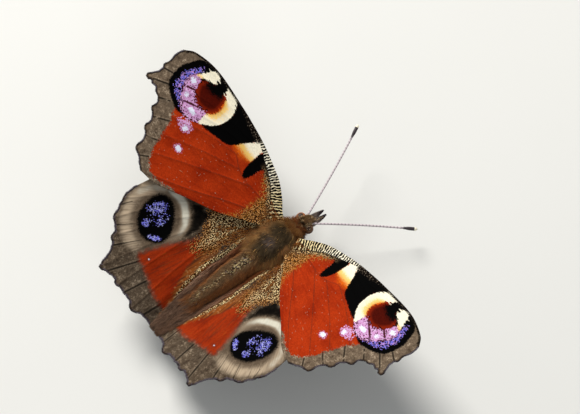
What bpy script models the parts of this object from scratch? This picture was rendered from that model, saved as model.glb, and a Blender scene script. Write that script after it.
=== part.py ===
"""A peacock butterfly (Aglais io) at life size, basking with its wings spread, standing on its four walking legs.

Sizes are in millimetres about the forewing hinge: +X is the butterfly's right, +Y its head, +Z up.
They become metres when a mesh is made, and at the end the whole is set on the floor with its box over the origin.
"""

import math

import bmesh
import bpy
import numpy as np
from mathutils import Vector
from mathutils.bvhtree import BVHTree
from mathutils.geometry import delaunay_2d_cdt

MM = 0.001

# Whole animal
GAP = 0.3
HINGE_HEIGHT = 7.8
WING_THICKNESS = 0.5
LEFT, RIGHT = -1, 1
SIDES = {"left": LEFT, "right": RIGHT}

# Wing hinges: distance from the middle plane, place along the body, height, and the wings' tilt from level
HINGE_OUT = 1.9
HINDWING_BACK = -2.6
HINDWING_DOWN = -1.15
FOREWING_TILT = math.radians(22.0)
HINDWING_TILT = math.radians(20.5)
WING_BOW = 0.35
FOREWING_REACH = 31.0

# Veins, raised in both faces of the membrane
VEIN_RIDGE = 0.13
VEIN_HALF_WIDTH = 0.34
VEIN_STEP = 1.9
RIM_CLEAR = 0.45
FIELD_STEP = 3.4

# The brown inner margin of the hindwing bends down beside the abdomen
FOLD_DROP = 0.7
FOLD_FROM = 1.5
FOLD_WIDTH = 1.7

# Thorax: the core of its coat, and the flat locks that stand on it in rows from the collar backward
THORAX_CENTRE = (0.0, -3.5, -0.9)
THORAX_HALF = (2.65, 3.9, 2.4)
THORAX_POWER = 2.3
LOCK_ROWS = 8
LOCK_FRONT, LOCK_BACK = -0.3, -6.3
LOCK_SPACING = 1.1
LOCK_LENGTH = 2.3
LOCK_HALF_WIDTH = 0.62
LOCK_HALF_THICKNESS = 0.27
LOCK_STATIONS = (0.0, 0.22, 0.5, 0.8, 1.0)
LOCK_SUNK = 0.6
LOCK_RISE = 0.62
LOCK_LEAN = 0.28
LOCK_CURL = 0.16
LOCK_TRIES = (1.0, 0.8, 0.62)
LOCK_SEED = 7

# Head and abdomen
HEAD_CENTRE = (0.0, 2.15, -1.3)
HEAD_HALF = (1.55, 1.55, 1.5)
ABDOMEN_FRONT = -6.6
ABDOMEN_TIP = -19.7
ABDOMEN_RADIUS = 1.85
ABDOMEN_HEIGHT = -0.95
ABDOMEN_SEGMENTS = 7

# The head looks a little to the butterfly's right of its own body
HEAD_TURN = math.radians(-6.0)
NECK = (0.0, 0.6, -1.2)

EYE_CENTRE = (1.12, 2.35, -1.1)
EYE_RADIUS = 0.85
PALP_ROOT = (0.42, 2.6, -2.2)
PALP_LENGTH = 3.3
PALP_RISE = math.radians(6.0)
PALP_RADIUS = 0.42
PROBOSCIS_CENTRE = (0.0, 3.15, -3.0)
PROBOSCIS_RADIUS = 0.75
PROBOSCIS_WIRE = 0.28

ANTENNA_ROOT = (0.55, 2.7, -0.9)
ANTENNA_LENGTH = 17.4
ANTENNA_SPREAD = math.radians(30.5)
ANTENNA_RISE = {"left": math.radians(5.5), "right": math.radians(-11.0)}
ANTENNA_BEND = 0.2
ANTENNA_RADIUS = 0.25
CLUB_RADIUS = 0.46
CLUB_LENGTH = 2.3

# Each walking leg: hip, knee, ankle, then the sole's heel and toe on the floor
MIDLEG = ((1.2, -2.6, -2.6), (4.5, -1.5, -2.2), (6.5, -0.5, -6.4), (7.3, 0.0), (9.2, 1.1))
HINDLEG = ((1.2, -5.2, -2.4), (4.1, -7.4, -2.1), (5.6, -10.8, -6.2), (6.2, -12.0), (7.3, -14.4))
FORELEG = ((0.9, -0.2, -2.6), (1.05, 1.0, -3.6), (1.0, 0.0, -4.5), (0.85, 1.3, -4.9))
FEMUR_RADIUS = 0.45
TIBIA_RADIUS = 0.32
TARSUS_RADIUS = 0.27

# Forewing in its own plane: forward from the hinge, outward from the hinge
FOREWING_COSTA = ((0.3, 0.0), (1.0, 2.6), (2.9, 7.6), (3.85, 12.5), (4.6, 19.5), (4.55, 25.4), (3.4, 29.4))
FOREWING_APEX = (2.05, 31.0)
FOREWING_ENDS = {
    "r5": (-1.3, 31.05),
    "m1": (-5.15, 30.95),
    "m2": (-5.55, 27.5),
    "m3": (-7.4, 26.25),
    "cua1": (-10.2, 24.4),
    "cua2": (-13.1, 22.75),
    "a2": (-14.6, 19.2),
}
FOREWING_HOLLOWS = (0.02, 0.04, 0.16, 0.05, 0.13, 0.13, 0.07)
FOREWING_INNER = ((-14.6, 19.2), (-13.8, 16.1), (-11.3, 12.0), (-8.4, 7.1), (-5.6, 3.6), (-3.2, 0.6))
FOREWING_VEINS = {
    "sc": ((0.0, 0.6), (1.7, 6.0), (3.1, 11.5), (4.4, 17.6)),
    "r": ((-0.4, 0.6), (1.0, 5.0), (2.1, 10.0), (2.55, 13.2), (3.4, 20.0), (3.75, 25.0), (3.0, 29.9)),
    "r5": ((3.1, 17.5), (2.1, 24.5), (-1.3, 31.05)),
    "m1": ((2.55, 13.2), (1.0, 20.5), (-1.7, 26.0), (-5.15, 30.95)),
    "m2": ((1.2, 13.6), (-0.9, 19.3), (-5.55, 27.5)),
    "m3": ((-0.7, 13.0), (-3.0, 18.6), (-7.4, 26.25)),
    "cross": ((2.55, 13.2), (1.2, 13.6), (-0.7, 13.0)),
    "cu": ((-0.9, 0.6), (-1.5, 5.2), (-1.9, 9.6), (-0.7, 13.0)),
    "cua1": ((-1.7, 10.8), (-5.6, 17.6), (-10.2, 24.4)),
    "cua2": ((-1.7, 7.4), (-6.3, 13.8), (-13.1, 22.75)),
    "a2": ((-1.6, 0.7), (-5.4, 6.6), (-10.3, 12.9), (-14.6, 19.2)),
}

# Hindwing in its own plane
HINDWING_COSTA = ((0.9, 0.2), (2.2, 3.4), (0.9, 8.2), (-4.2, 14.2), (-9.0, 17.2), (-13.6, 18.15))
HINDWING_ENDS = {
    "rs": (-16.6, 17.75),
    "m1": (-19.6, 16.1),
    "m2": (-21.65, 13.9),
    "m3": (-25.85, 11.1),
    "cua1": (-25.3, 7.1),
    "cua2": (-25.5, 2.8),
    "a2": (-24.5, -1.75),
}
HINDWING_HOLLOWS = (0.03, 0.09, 0.09, 0.1, 0.1, 0.05, 0.04)
HINDWING_VEINS = {
    "sc": ((0.2, 1.4), (0.4, 5.5), (-4.0, 12.2), (-13.2, 17.6)),
    "rs": ((-0.9, 1.8), (-3.4, 7.0), (-8.0, 12.6), (-16.6, 17.75)),
    "m1": ((-4.4, 8.4), (-11.0, 12.9), (-19.6, 16.1)),
    "m2": ((-4.4, 8.4), (-6.0, 7.6), (-13.0, 11.0), (-21.65, 13.9)),
    "m3": ((-6.0, 7.6), (-7.0, 6.2), (-15.0, 8.9), (-25.85, 11.1)),
    "cua1": ((-1.6, 1.8), (-5.0, 4.4), (-7.0, 6.2), (-15.0, 6.9), (-25.3, 7.1)),
    "cua2": ((-4.0, 3.5), (-13.5, 4.1), (-25.5, 2.8)),
    "a2": ((-4.6, 1.7), (-12.0, 1.5), (-20.0, 0.2), (-24.5, -1.75)),
}

COLOURS = {
    "forewing": (0.40, 0.055, 0.018),
    "hindwing": (0.36, 0.055, 0.020),
    "thorax": (0.16, 0.085, 0.035),
    "abdomen": (0.10, 0.055, 0.030),
    "head": (0.12, 0.065, 0.030),
    "eye": (0.020, 0.014, 0.012),
    "palp": (0.060, 0.032, 0.020),
    "proboscis": (0.10, 0.045, 0.020),
    "antenna": (0.050, 0.040, 0.045),
    "leg": (0.060, 0.040, 0.028),
}
ROUGHNESS = {"eye": 0.25, "proboscis": 0.45}
BODY = bpy.data.collections.new("peacock_butterfly")


def clear_scene():
    for obj in list(bpy.data.objects):
        bpy.data.objects.remove(obj, do_unlink=True)
    bpy.context.scene.collection.children.link(BODY)


def material(finish):
    """One Principled BSDF for each finish."""
    if finish in bpy.data.materials:
        return bpy.data.materials[finish]
    made = bpy.data.materials.new(finish)
    made.use_nodes = True
    shader = made.node_tree.nodes["Principled BSDF"]
    shader.inputs["Base Color"].default_value = (*COLOURS[finish], 1.0)
    shader.inputs["Roughness"].default_value = ROUGHNESS.get(finish, 0.8)
    shader.inputs["Metallic"].default_value = 0.0
    return made


def solid(name, points, faces, finish):
    """An object from points in millimetres and closed faces, with its normals out and its round sides smooth."""
    mesh = bpy.data.meshes.new(name)
    mesh.from_pydata((np.asarray(points) * MM).tolist(), [], faces)
    work = bmesh.new()
    work.from_mesh(mesh)
    bmesh.ops.recalc_face_normals(work, faces=work.faces)
    work.to_mesh(mesh)
    work.free()
    mesh.materials.append(material(finish))
    mesh.shade_smooth()
    mesh.set_sharp_from_angle(angle=math.radians(40))
    obj = bpy.data.objects.new(name, mesh)
    BODY.objects.link(obj)
    return obj


def smooth_curve(points, step):
    """Catmull-Rom curve through the points, with a point about every step along it."""
    knots = np.asarray(points, float)
    padded = np.vstack([2 * knots[0] - knots[1], knots, 2 * knots[-1] - knots[-2]])
    pieces = []
    for before, start, end, after in zip(padded, padded[1:], padded[2:], padded[3:]):
        count = max(1, round(float(np.linalg.norm(end - start)) / step))
        t = np.linspace(0, 1, count, endpoint=False)[:, None]
        slope_start, slope_end = (end - before) / 2, (after - start) / 2
        pieces.append(
            (2 * t**3 - 3 * t**2 + 1) * start
            + (t**3 - 2 * t**2 + t) * slope_start
            + (3 * t**2 - 2 * t**3) * end
            + (t**3 - t**2) * slope_end
        )
    return np.vstack([*pieces, knots[-1:]])


def smoothstep(x):
    x = np.clip(x, 0, 1)
    return x * x * (3 - 2 * x)


def carried_frames(path, across):
    """Directions along, across and up at each station, carried along the path without twist from the first across."""
    ahead = np.gradient(path, axis=0)
    ahead /= np.linalg.norm(ahead, axis=1)[:, None]
    carried = []
    for direction in ahead:
        across = across - (across @ direction) * direction
        across = across / np.linalg.norm(across)
        carried.append(across)
    carried = np.array(carried)
    return ahead, carried, np.cross(carried, ahead)


def tube(path, radii, sides, across=(1.0, 0.0, 0.0)):
    """Points and faces of a round bar along a path. Radii are one number a station, or its half width and half height.

    Rings are carried along without twist, and the first and last station close to a point in their middle.
    """
    path = np.asarray(path, float)
    radii = np.asarray(radii, float)
    if radii.ndim == 1:
        radii = np.stack([radii, radii], axis=1)
    _, sideways, up = carried_frames(path, np.asarray(across))
    turn = np.linspace(0, 2 * np.pi, sides, endpoint=False)
    rings = (
        path[:, None]
        + sideways[:, None] * (np.cos(turn) * radii[:, :1])[..., None]
        + up[:, None] * (np.sin(turn) * radii[:, 1:])[..., None]
    )
    count = len(path)
    points = np.vstack([rings.reshape(-1, 3), path[:1], path[-1:]])
    first_pole, last_pole = count * sides, count * sides + 1
    faces = []
    for side in range(sides):
        after = (side + 1) % sides
        faces.append((first_pole, after, side))
        faces.append((last_pole, (count - 1) * sides + side, (count - 1) * sides + after))
        for ring in range(count - 1):
            low, high = ring * sides, (ring + 1) * sides
            faces.append((low + side, low + after, high + after, high + side))
    return points, faces


def rounded(centre, half, stations, sides, grow=0.0, power=2.0):
    """Points and faces of a rounded body that lies along Y: a superellipse from end to end, round across."""
    turn = np.linspace(0.12, np.pi - 0.12, stations)
    along = -np.cos(turn)
    profile = (1 - np.abs(along) ** power) ** (1 / power)
    path = np.stack([np.full(stations, centre[0]), centre[1] + along * (half[1] + grow), np.full(stations, centre[2])], axis=1)
    radii = profile[:, None] * (np.array([half[0], half[2]]) + grow)
    return tube(path, radii, sides)


def cut(obj, cutter):
    """Takes the cutter's space out of the object and keeps the largest piece that is left."""
    modifier = obj.modifiers.new("gap", "BOOLEAN")
    modifier.operation = "DIFFERENCE"
    modifier.solver = "EXACT"
    modifier.object = cutter
    apply_modifier(obj)
    keep_largest(obj)


def apply_modifier(obj):
    """Gives the object the mesh that its modifier makes."""
    graph = bpy.context.evaluated_depsgraph_get()
    mesh = bpy.data.meshes.new_from_object(obj.evaluated_get(graph))
    obj.modifiers.clear()
    obj.data = mesh


def keep_largest(obj):
    """Drops every closed surface of the object but its largest."""
    work = bmesh.new()
    work.from_mesh(obj.data)
    left = set(work.verts)
    groups = []
    while left:
        group = set()
        front = [left.pop()]
        while front:
            vert = front.pop()
            group.add(vert)
            found = {edge.other_vert(vert) for edge in vert.link_edges} & left
            left -= found
            front.extend(found)
        groups.append(group)
    groups.sort(key=len)
    for group in groups[:-1]:
        bmesh.ops.delete(work, geom=list(group), context="VERTS")
    work.to_mesh(obj.data)
    work.free()


def fuse(obj, pieces):
    """Joins closed pieces to the object by one union, and keeps the largest closed surface."""
    group = bpy.data.collections.new("pieces_to_fuse")
    bpy.context.scene.collection.children.link(group)
    for index, (points, faces) in enumerate(pieces):
        piece = helper(f"{obj.name}_piece_{index}", points, faces)
        BODY.objects.unlink(piece)
        group.objects.link(piece)
    modifier = obj.modifiers.new("fuse", "BOOLEAN")
    modifier.operation = "UNION"
    modifier.solver = "EXACT"
    modifier.operand_type = "COLLECTION"
    modifier.collection = group
    apply_modifier(obj)
    for piece in list(group.objects):
        bpy.data.objects.remove(piece, do_unlink=True)
    bpy.data.collections.remove(group)
    keep_largest(obj)


def helper(name, points, faces):
    """A cutter, left out of the finished model."""
    obj = solid(name, points, faces, "thorax")
    obj.hide_render = True
    obj.display_type = "WIRE"
    return obj


def turned(points):
    """Points of the head and what it carries, turned about the neck to where the butterfly looks."""
    neck = np.array(NECK)
    c, s = math.cos(HEAD_TURN), math.sin(HEAD_TURN)
    spin = np.array([[c, -s, 0], [s, c, 0], [0, 0, 1]])
    return (np.asarray(points) - neck) @ spin.T + neck


def side_place(place, side):
    return np.array([side * place[0], place[1], place[2]])


def abdomen_profile(y):
    """Half width of the abdomen at y: full at a third of its length, slim behind the thorax, a blunt tip."""
    t = np.clip((ABDOMEN_FRONT - np.asarray(y, float)) / (ABDOMEN_FRONT - ABDOMEN_TIP), 0, 1)
    swell = 0.78 + 0.22 * np.sin(np.pi * np.clip(t / 0.7, 0, 1))
    taper = np.sqrt(np.clip(1 - ((t - 0.35) / 0.65).clip(0, 1) ** 2.2, 0, 1))
    return ABDOMEN_RADIUS * swell * (0.12 + 0.88 * taper)


def make_thorax():
    """The core of the coat, and the space that its neighbours keep off."""
    core = solid("thorax", *rounded(THORAX_CENTRE, THORAX_HALF, 14, 20, power=THORAX_POWER), "thorax")
    grown = rounded(THORAX_CENTRE, THORAX_HALF, 14, 20, grow=GAP, power=THORAX_POWER)
    return core, helper("thorax_gap", *grown)


def core_radii(y):
    """Half width and half height of the thorax core at y. Behind the last row of locks it counts as straight."""
    s = (np.maximum(y, LOCK_BACK) - THORAX_CENTRE[1]) / THORAX_HALF[1]
    profile = (1 - np.abs(s) ** THORAX_POWER) ** (1 / THORAX_POWER)
    return profile * THORAX_HALF[0], profile * THORAX_HALF[2]


def lock(turn, y, length, curl, stations, sides):
    """Points and faces of one flat tapered lock that starts in the core at an angle about it, and runs backward.

    Along the lock the height over the core rises from its sunk root to its tip in a quarter of a sine, and the
    angle about the core moves away from the back, as wet hair falls, and aside by the curl.
    """
    t = np.asarray(stations)
    height = -LOCK_SUNK + (LOCK_SUNK + LOCK_RISE) * np.sin(0.5 * np.pi * t**0.8)
    turns = turn - LOCK_LEAN * math.cos(turn) * t + curl * t**2
    wide, high = core_radii(y - length * t)
    path = np.stack([(wide + height) * np.cos(turns), y - length * t, (high + height) * np.sin(turns)], axis=1)
    path += (THORAX_CENTRE[0], 0, THORAX_CENTRE[2])
    width = LOCK_HALF_WIDTH * (0.75 + 0.25 * np.sin(np.pi * t)) * (1 - 0.9 * t**3)
    thickness = LOCK_HALF_THICKNESS * (1 - 0.75 * t**4)
    across = (-THORAX_HALF[0] * math.sin(turn), 0.0, THORAX_HALF[2] * math.cos(turn))
    return tube(path, np.stack([width, thickness], axis=1), sides, across)


def surface_tree(obj):
    """Search tree over the object's surface, in millimetres."""
    corners = [vert.co / MM for vert in obj.data.vertices]
    return BVHTree.FromPolygons(corners, [list(face.vertices) for face in obj.data.polygons])


def is_clear(points, trees):
    """Whether every point keeps the gap from every tree's surface."""
    return all(tree.find_nearest(Vector(place), GAP)[0] is None for place in points for tree in trees)


def make_coat(thorax, neighbours):
    """Rows of locks around the core, each row set between those before it. One that meets a wing or leg is shorter,
    or left out where even the shortest meets it, and one union joins the rest to the core."""
    trees = [surface_tree(obj) for obj in neighbours]
    draw = np.random.default_rng(LOCK_SEED)
    dense = np.linspace(0.18, 1.0, 14)
    locks = []
    for row, y in enumerate(np.linspace(LOCK_FRONT, LOCK_BACK, LOCK_ROWS)):
        wide, high = core_radii(y)
        count = round(math.pi * (wide + high) / LOCK_SPACING)
        for index in range(count):
            turn = math.pi / 2 + 2 * math.pi * (index + 0.5 * (row % 2) + draw.uniform(-0.15, 0.15)) / count
            length = LOCK_LENGTH * draw.uniform(0.85, 1.15)
            curl = LOCK_CURL * draw.uniform(-1, 1)
            for share in LOCK_TRIES:
                if is_clear(lock(turn, y, share * length, curl, dense, 8)[0][:-2], trees):
                    locks.append(lock(turn, y, share * length, curl, LOCK_STATIONS, 4))
                    break
    fuse(thorax, locks)


def make_abdomen():
    """A tapering body of rings, each a little fuller behind than in front."""
    stations = 3 * ABDOMEN_SEGMENTS + 1
    y = np.linspace(ABDOMEN_FRONT, ABDOMEN_TIP + 0.02, stations)
    radius = abdomen_profile(y)
    phase = np.arange(stations) % 3
    radius = radius * np.where(phase == 0, 0.95, np.where(phase == 1, 1.0, 1.02))
    path = np.stack([np.zeros(stations), y, np.full(stations, ABDOMEN_HEIGHT)], axis=1)
    return solid("abdomen", *tube(path, np.stack([radius, radius * 0.98], axis=1), 14), "abdomen")


def make_head():
    points, faces = rounded(HEAD_CENTRE, HEAD_HALF, 12, 18, power=2.2)
    head = solid("head", turned(points), faces, "head")
    points, faces = rounded(HEAD_CENTRE, HEAD_HALF, 12, 18, grow=GAP, power=2.2)
    return head, helper("head_gap", turned(points), faces)


def ball(centre, radius):
    """Points and faces of a round ball."""
    work = bmesh.new()
    bmesh.ops.create_icosphere(work, subdivisions=3, radius=radius)
    points = np.array([vert.co for vert in work.verts]) + centre
    faces = [[vert.index for vert in face.verts] for face in work.faces]
    work.free()
    return points, faces


def make_eye(word, side, head):
    centre = side_place(EYE_CENTRE, side)
    points, faces = ball(centre, EYE_RADIUS)
    solid(f"eye_{word}", turned(points), faces, "eye")
    points, faces = ball(centre, EYE_RADIUS + GAP)
    socket = helper(f"socket_{word}", turned(points), faces)
    cut(head, socket)
    return socket


def make_palp(word, side, gaps):
    """A bristly feeler beside the mouth, thick to its middle and pointed."""
    t = np.linspace(0, 1, 9)
    radius = PALP_RADIUS * (0.75 + 0.25 * np.sin(np.pi * t)) * np.sqrt(np.clip(1 - t**3, 0.02, 1))
    root = side_place(PALP_ROOT, side)
    rise = PALP_LENGTH * (math.sin(PALP_RISE) * t + 0.12 * t**2)
    path = np.stack([root[0] + 0 * t, root[1] + PALP_LENGTH * t, root[2] + rise], axis=1)
    points, faces = tube(path, radius, 10)
    palp = solid(f"palp_{word}", turned(points), faces, "palp")
    for gap in gaps:
        cut(palp, gap)


def make_proboscis(gaps):
    """The tongue, coiled flat below the face into one open ring."""
    turn = np.pi * np.linspace(0.6, -1.2, 25)
    ring = np.stack([0 * turn, np.cos(turn), np.sin(turn)], axis=1)
    path = np.array(PROBOSCIS_CENTRE) + PROBOSCIS_RADIUS * ring
    points, faces = tube(path, np.full(len(path), PROBOSCIS_WIRE), 8)
    tongue = solid("proboscis", turned(points), faces, "proboscis")
    for gap in gaps:
        cut(tongue, gap)


def make_antenna(word, side, gaps):
    """A thin shaft that ends in a club, with a slight outward bend."""
    length = ANTENNA_LENGTH
    along = np.concatenate([np.linspace(0, length - CLUB_LENGTH, 9), length - CLUB_LENGTH * np.array([0.7, 0.45, 0.22, 0.08, 0.0])])
    t = along / length
    club = smoothstep((along - (length - CLUB_LENGTH)) / (0.6 * CLUB_LENGTH))
    radius = ANTENNA_RADIUS + (CLUB_RADIUS - ANTENNA_RADIUS) * club
    radius[-2:] = CLUB_RADIUS * np.array([0.8, 0.35])
    rise = ANTENNA_RISE[word]
    ahead = np.array([side * math.sin(ANTENNA_SPREAD) * math.cos(rise), math.cos(ANTENNA_SPREAD) * math.cos(rise), math.sin(rise)])
    out = np.array([side * math.cos(ANTENNA_SPREAD), -math.sin(ANTENNA_SPREAD), 0])
    root = side_place(ANTENNA_ROOT, side)
    path = root + along[:, None] * ahead - (ANTENNA_BEND * 4 * t * (1 - t))[:, None] * out
    points, faces = tube(path, radius, 8)
    antenna = solid(f"antenna_{word}", turned(points), faces, "antenna")
    for gap in gaps:
        cut(antenna, gap)


def limb(joints, radii, side, floor=None):
    """Points and faces of a jointed limb: straight lengths with a short bend at each joint."""
    joints = [side_place(place, side) for place in joints]
    path, thick = [joints[0]], [radii[0]]
    for index in range(1, len(joints) - 1):
        joint = joints[index]
        for other in (joints[index - 1], joints[index + 1]):
            reach = other - joint
            path.append(joint + reach / np.linalg.norm(reach) * 0.35)
            thick.append(radii[index])
    path.append(joints[-1])
    thick.append(radii[-1])
    points, faces = tube(path, thick, 8)
    if floor is not None:
        points[:, 2] = np.maximum(points[:, 2], floor)
    return points, faces


def make_leg(name, places, side, gap):
    """Femur, tibia and tarsus, whose sole lies flat on the floor."""
    floor = -HINGE_HEIGHT
    hip, knee, ankle, heel, toe = places
    sole = floor + 0.7 * TARSUS_RADIUS
    joints = (hip, knee, ankle, (*heel, sole), (*toe, sole))
    radii = (FEMUR_RADIUS, 0.8 * FEMUR_RADIUS, TIBIA_RADIUS, TARSUS_RADIUS, TARSUS_RADIUS * 0.9)
    leg = solid(name, *limb(joints, radii, side, floor), "leg")
    cut(leg, gap)


def make_foreleg(name, side, gap):
    """The short brush foot, folded against the breast and never walked on."""
    radii = (0.42, 0.42, 0.38, 0.3)
    leg = solid(name, *limb(FORELEG, radii, side), "leg")
    cut(leg, gap)


def margin(ends, hollows, step=1.3):
    """The scalloped outer margin: from one vein's end to the next it runs in a hollow, deepest half way (a sine)."""
    places = np.asarray(ends, float)
    pieces = []
    for start, end, hollow in zip(places, places[1:], hollows):
        chord = end - start
        length = float(np.linalg.norm(chord))
        inward = np.array([-chord[1], chord[0]]) / length
        if inward @ (start + (-8, 8)) > 0:
            inward = -inward
        count = max(3, round(length / step))
        t = np.linspace(0, 1, count, endpoint=False)[:, None]
        pieces.append(start + chord * t + inward * (hollow * length * np.sin(np.pi * t)))
    return np.vstack([*pieces, places[-1:]])


def forewing_outline():
    front = smooth_curve((*FOREWING_COSTA, FOREWING_APEX), 2.6)
    outer = margin((FOREWING_APEX, *FOREWING_ENDS.values()), FOREWING_HOLLOWS)
    inner = smooth_curve(FOREWING_INNER, 2.2)
    return np.vstack([front, outer[1:], inner[1:]])


def hindwing_outline():
    """Its inner margin keeps the gap beside the abdomen, and behind the abdomen beside the other hindwing."""
    front = smooth_curve(HINDWING_COSTA, 2.6)
    outer = margin((HINDWING_COSTA[-1], *HINDWING_ENDS.values()), HINDWING_HOLLOWS)
    u = np.linspace(HINDWING_ENDS["a2"][0] + 1.2, -3.2, 17)
    beside = abdomen_profile(u + HINDWING_BACK) + GAP + 0.05
    beside = np.where(u + HINDWING_BACK < ABDOMEN_TIP - GAP, 0.0, beside)
    out = np.maximum(beside, 0.5 * GAP + 0.02)
    inner = np.stack([u, (out - HINGE_OUT) / math.cos(HINDWING_TILT)], axis=1)
    return np.vstack([front, outer[1:], inner])


def distance_to(points, line):
    """Distance of each point to a line of many short pieces, and how far along it the nearest place is."""
    best = np.full(len(points), np.inf)
    place = np.zeros(len(points))
    lengths = np.linalg.norm(np.diff(line, axis=0), axis=1)
    walked = 0.0
    for start, end, length in zip(line, line[1:], lengths):
        piece = end - start
        t = np.clip((points - start) @ piece / length**2, 0, 1)
        away = np.linalg.norm(points - start - t[:, None] * piece, axis=1)
        nearer = away < best
        best = np.where(nearer, away, best)
        place = np.where(nearer, walked + t * length, place)
        walked += length
    return best, place / walked


def inside(points, outline):
    """Which points lie within the outline, by the count of its edges that a ray to one side crosses."""
    x, y = points[:, 0], points[:, 1]
    crossings = np.zeros(len(points), int)
    for start, end in zip(outline, np.roll(outline, -1, axis=0)):
        spans = (start[1] > y) != (end[1] > y)
        rise = end[1] - start[1]
        where = start[0] + (y - start[1]) * (end[0] - start[0]) / (rise if rise else 1.0)
        crossings += spans & (x < where)
    return crossings % 2 == 1


def vein_height(points, veins):
    """Height of the ridges: a roof over each vein, full on its crest, nothing at its feet, lower near its tip."""
    height = np.zeros(len(points))
    for line in veins:
        away, place = distance_to(points, line)
        roof = np.clip(1 - away / VEIN_HALF_WIDTH, 0, 1)
        height = np.maximum(height, VEIN_RIDGE * roof * (1 - 0.7 * smoothstep((place - 0.7) / 0.3)))
    return height


def wing_net(outline, veins):
    """Points and triangles of the flat wing, with an edge along every vein's crest."""
    crests = [smooth_curve(vein, VEIN_STEP) for vein in veins]
    loop = outline
    closed = np.vstack([loop, loop[:1]])
    feet = []
    for crest in crests:
        middle = (crest[1:] + crest[:-1]) / 2
        along = crest[1:] - crest[:-1]
        aside = np.stack([-along[:, 1], along[:, 0]], axis=1) / np.linalg.norm(along, axis=1)[:, None]
        feet += [middle + VEIN_HALF_WIDTH * aside, middle - VEIN_HALF_WIDTH * aside]
    feet = np.vstack(feet)
    low, high = outline.min(axis=0), outline.max(axis=0)
    grid = np.stack(np.meshgrid(np.arange(low[0], high[0], FIELD_STEP), np.arange(low[1], high[1], FIELD_STEP)), axis=-1)
    field = grid.reshape(-1, 2)
    nearest = np.min([distance_to(field, crest)[0] for crest in crests], axis=0)
    field = field[nearest > 3 * VEIN_HALF_WIDTH]
    spare = np.vstack([feet, field])
    keep = inside(spare, outline) & (distance_to(spare, closed)[0] > RIM_CLEAR)
    nearest = np.min([distance_to(spare, crest)[0] for crest in crests], axis=0)
    spare = spare[keep & (nearest > 0.8 * VEIN_HALF_WIDTH)]
    points = [Vector(place) for place in loop]
    edges = [(index, (index + 1) % len(loop)) for index in range(len(loop))]
    for crest in crests:
        within = inside(crest, outline) & (distance_to(crest, closed)[0] > 0.3)
        crest = crest[within]
        edges += [(len(points) + index, len(points) + index + 1) for index in range(len(crest) - 1)]
        points += [Vector(place) for place in crest]
    points += [Vector(place) for place in spare]
    net = delaunay_2d_cdt(points, edges, [], 1, 1e-4)
    return np.array(net[0]), [tuple(face) for face in net[2]], crests


def make_wing(name, side, outline, veins, place, tilt, fold, gaps, finish):
    """A thin plate on a bowed surface. Its two faces are split into the same triangles, and its rim joins them."""
    flat, faces, crests = wing_net(outline, veins.values())
    u, v = flat[:, 0], flat[:, 1]
    bow = WING_BOW * (1 - (2 * v / FOREWING_REACH - 1) ** 2)
    drop = fold * FOLD_DROP * smoothstep((FOLD_FROM - v) / FOLD_WIDTH)
    half = WING_THICKNESS / 2 + vein_height(flat, crests)
    outward = np.array([side * math.cos(tilt), 0, math.sin(tilt)])
    upward = np.array([-side * math.sin(tilt), 0, math.cos(tilt)])
    middle = np.asarray(place) + u[:, None] * (0, 1.0, 0) + v[:, None] * outward + bow[:, None] * upward
    middle[:, 2] -= drop
    points = np.vstack([middle + half[:, None] * upward, middle - half[:, None] * upward])
    count = len(flat)
    used = {}
    for face in faces:
        for start, end in zip(face, face[1:] + face[:1]):
            used[start, end] = True
    rim = [edge for edge in used if edge[::-1] not in used]
    under = [tuple(count + index for index in reversed(face)) for face in faces]
    walls = [(start, start + count, end + count, end) for start, end in rim]
    wing = solid(name, points, [*faces, *under, *walls], finish)
    for gap in gaps:
        cut(wing, gap)
    return wing


def make_wings(gap):
    for word, side in SIDES.items():
        make_wing(
            f"forewing_{word}", side, forewing_outline(), FOREWING_VEINS,
            (side * HINGE_OUT, 0, 0), FOREWING_TILT, 0.0, [gap], "forewing",
        )
        make_wing(
            f"hindwing_{word}", side, hindwing_outline(), HINDWING_VEINS,
            (side * HINGE_OUT, HINDWING_BACK, HINDWING_DOWN), HINDWING_TILT, 1.0, [gap], "hindwing",
        )


def set_on_floor():
    """Parents every piece to one empty that stands the butterfly on the floor, its box over the origin."""
    stand = bpy.data.objects.new("butterfly_place", None)
    BODY.objects.link(stand)
    corners = []
    for obj in BODY.objects:
        if obj.type == "MESH":
            corners += [vert.co for vert in obj.data.vertices]
            obj.parent = stand
    corners = np.array(corners)
    middle = (corners.min(axis=0) + corners.max(axis=0)) / 2
    stand.location = (-middle[0], -middle[1], HINGE_HEIGHT * MM)


def main():
    clear_scene()
    thorax, thorax_gap = make_thorax()
    helpers = [thorax_gap]
    abdomen = make_abdomen()
    cut(abdomen, thorax_gap)
    head, head_gap = make_head()
    cut(head, thorax_gap)
    helpers.append(head_gap)
    sockets = [make_eye(word, side, head) for word, side in SIDES.items()]
    helpers += sockets
    for word, side in SIDES.items():
        make_palp(word, side, [head_gap])
        make_antenna(word, side, [head_gap, *sockets])
        make_foreleg(f"foreleg_{word}", side, thorax_gap)
        make_leg(f"midleg_{word}", MIDLEG, side, thorax_gap)
        make_leg(f"hindleg_{word}", HINDLEG, side, thorax_gap)
    make_proboscis([head_gap])
    make_wings(thorax_gap)
    for obj in helpers:
        bpy.data.objects.remove(obj, do_unlink=True)
    make_coat(thorax, [obj for obj in BODY.objects if obj is not thorax])
    set_on_floor()


main()
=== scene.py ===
"""Looks of a life-size peacock butterfly (Aglais io) that basks with its wings spread.

Sizes in the tables are millimetres about the forewing hinge: +X the butterfly's right, +Y its head, +Z up.
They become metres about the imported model's origin when a mesh is made.
"""

import math

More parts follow.
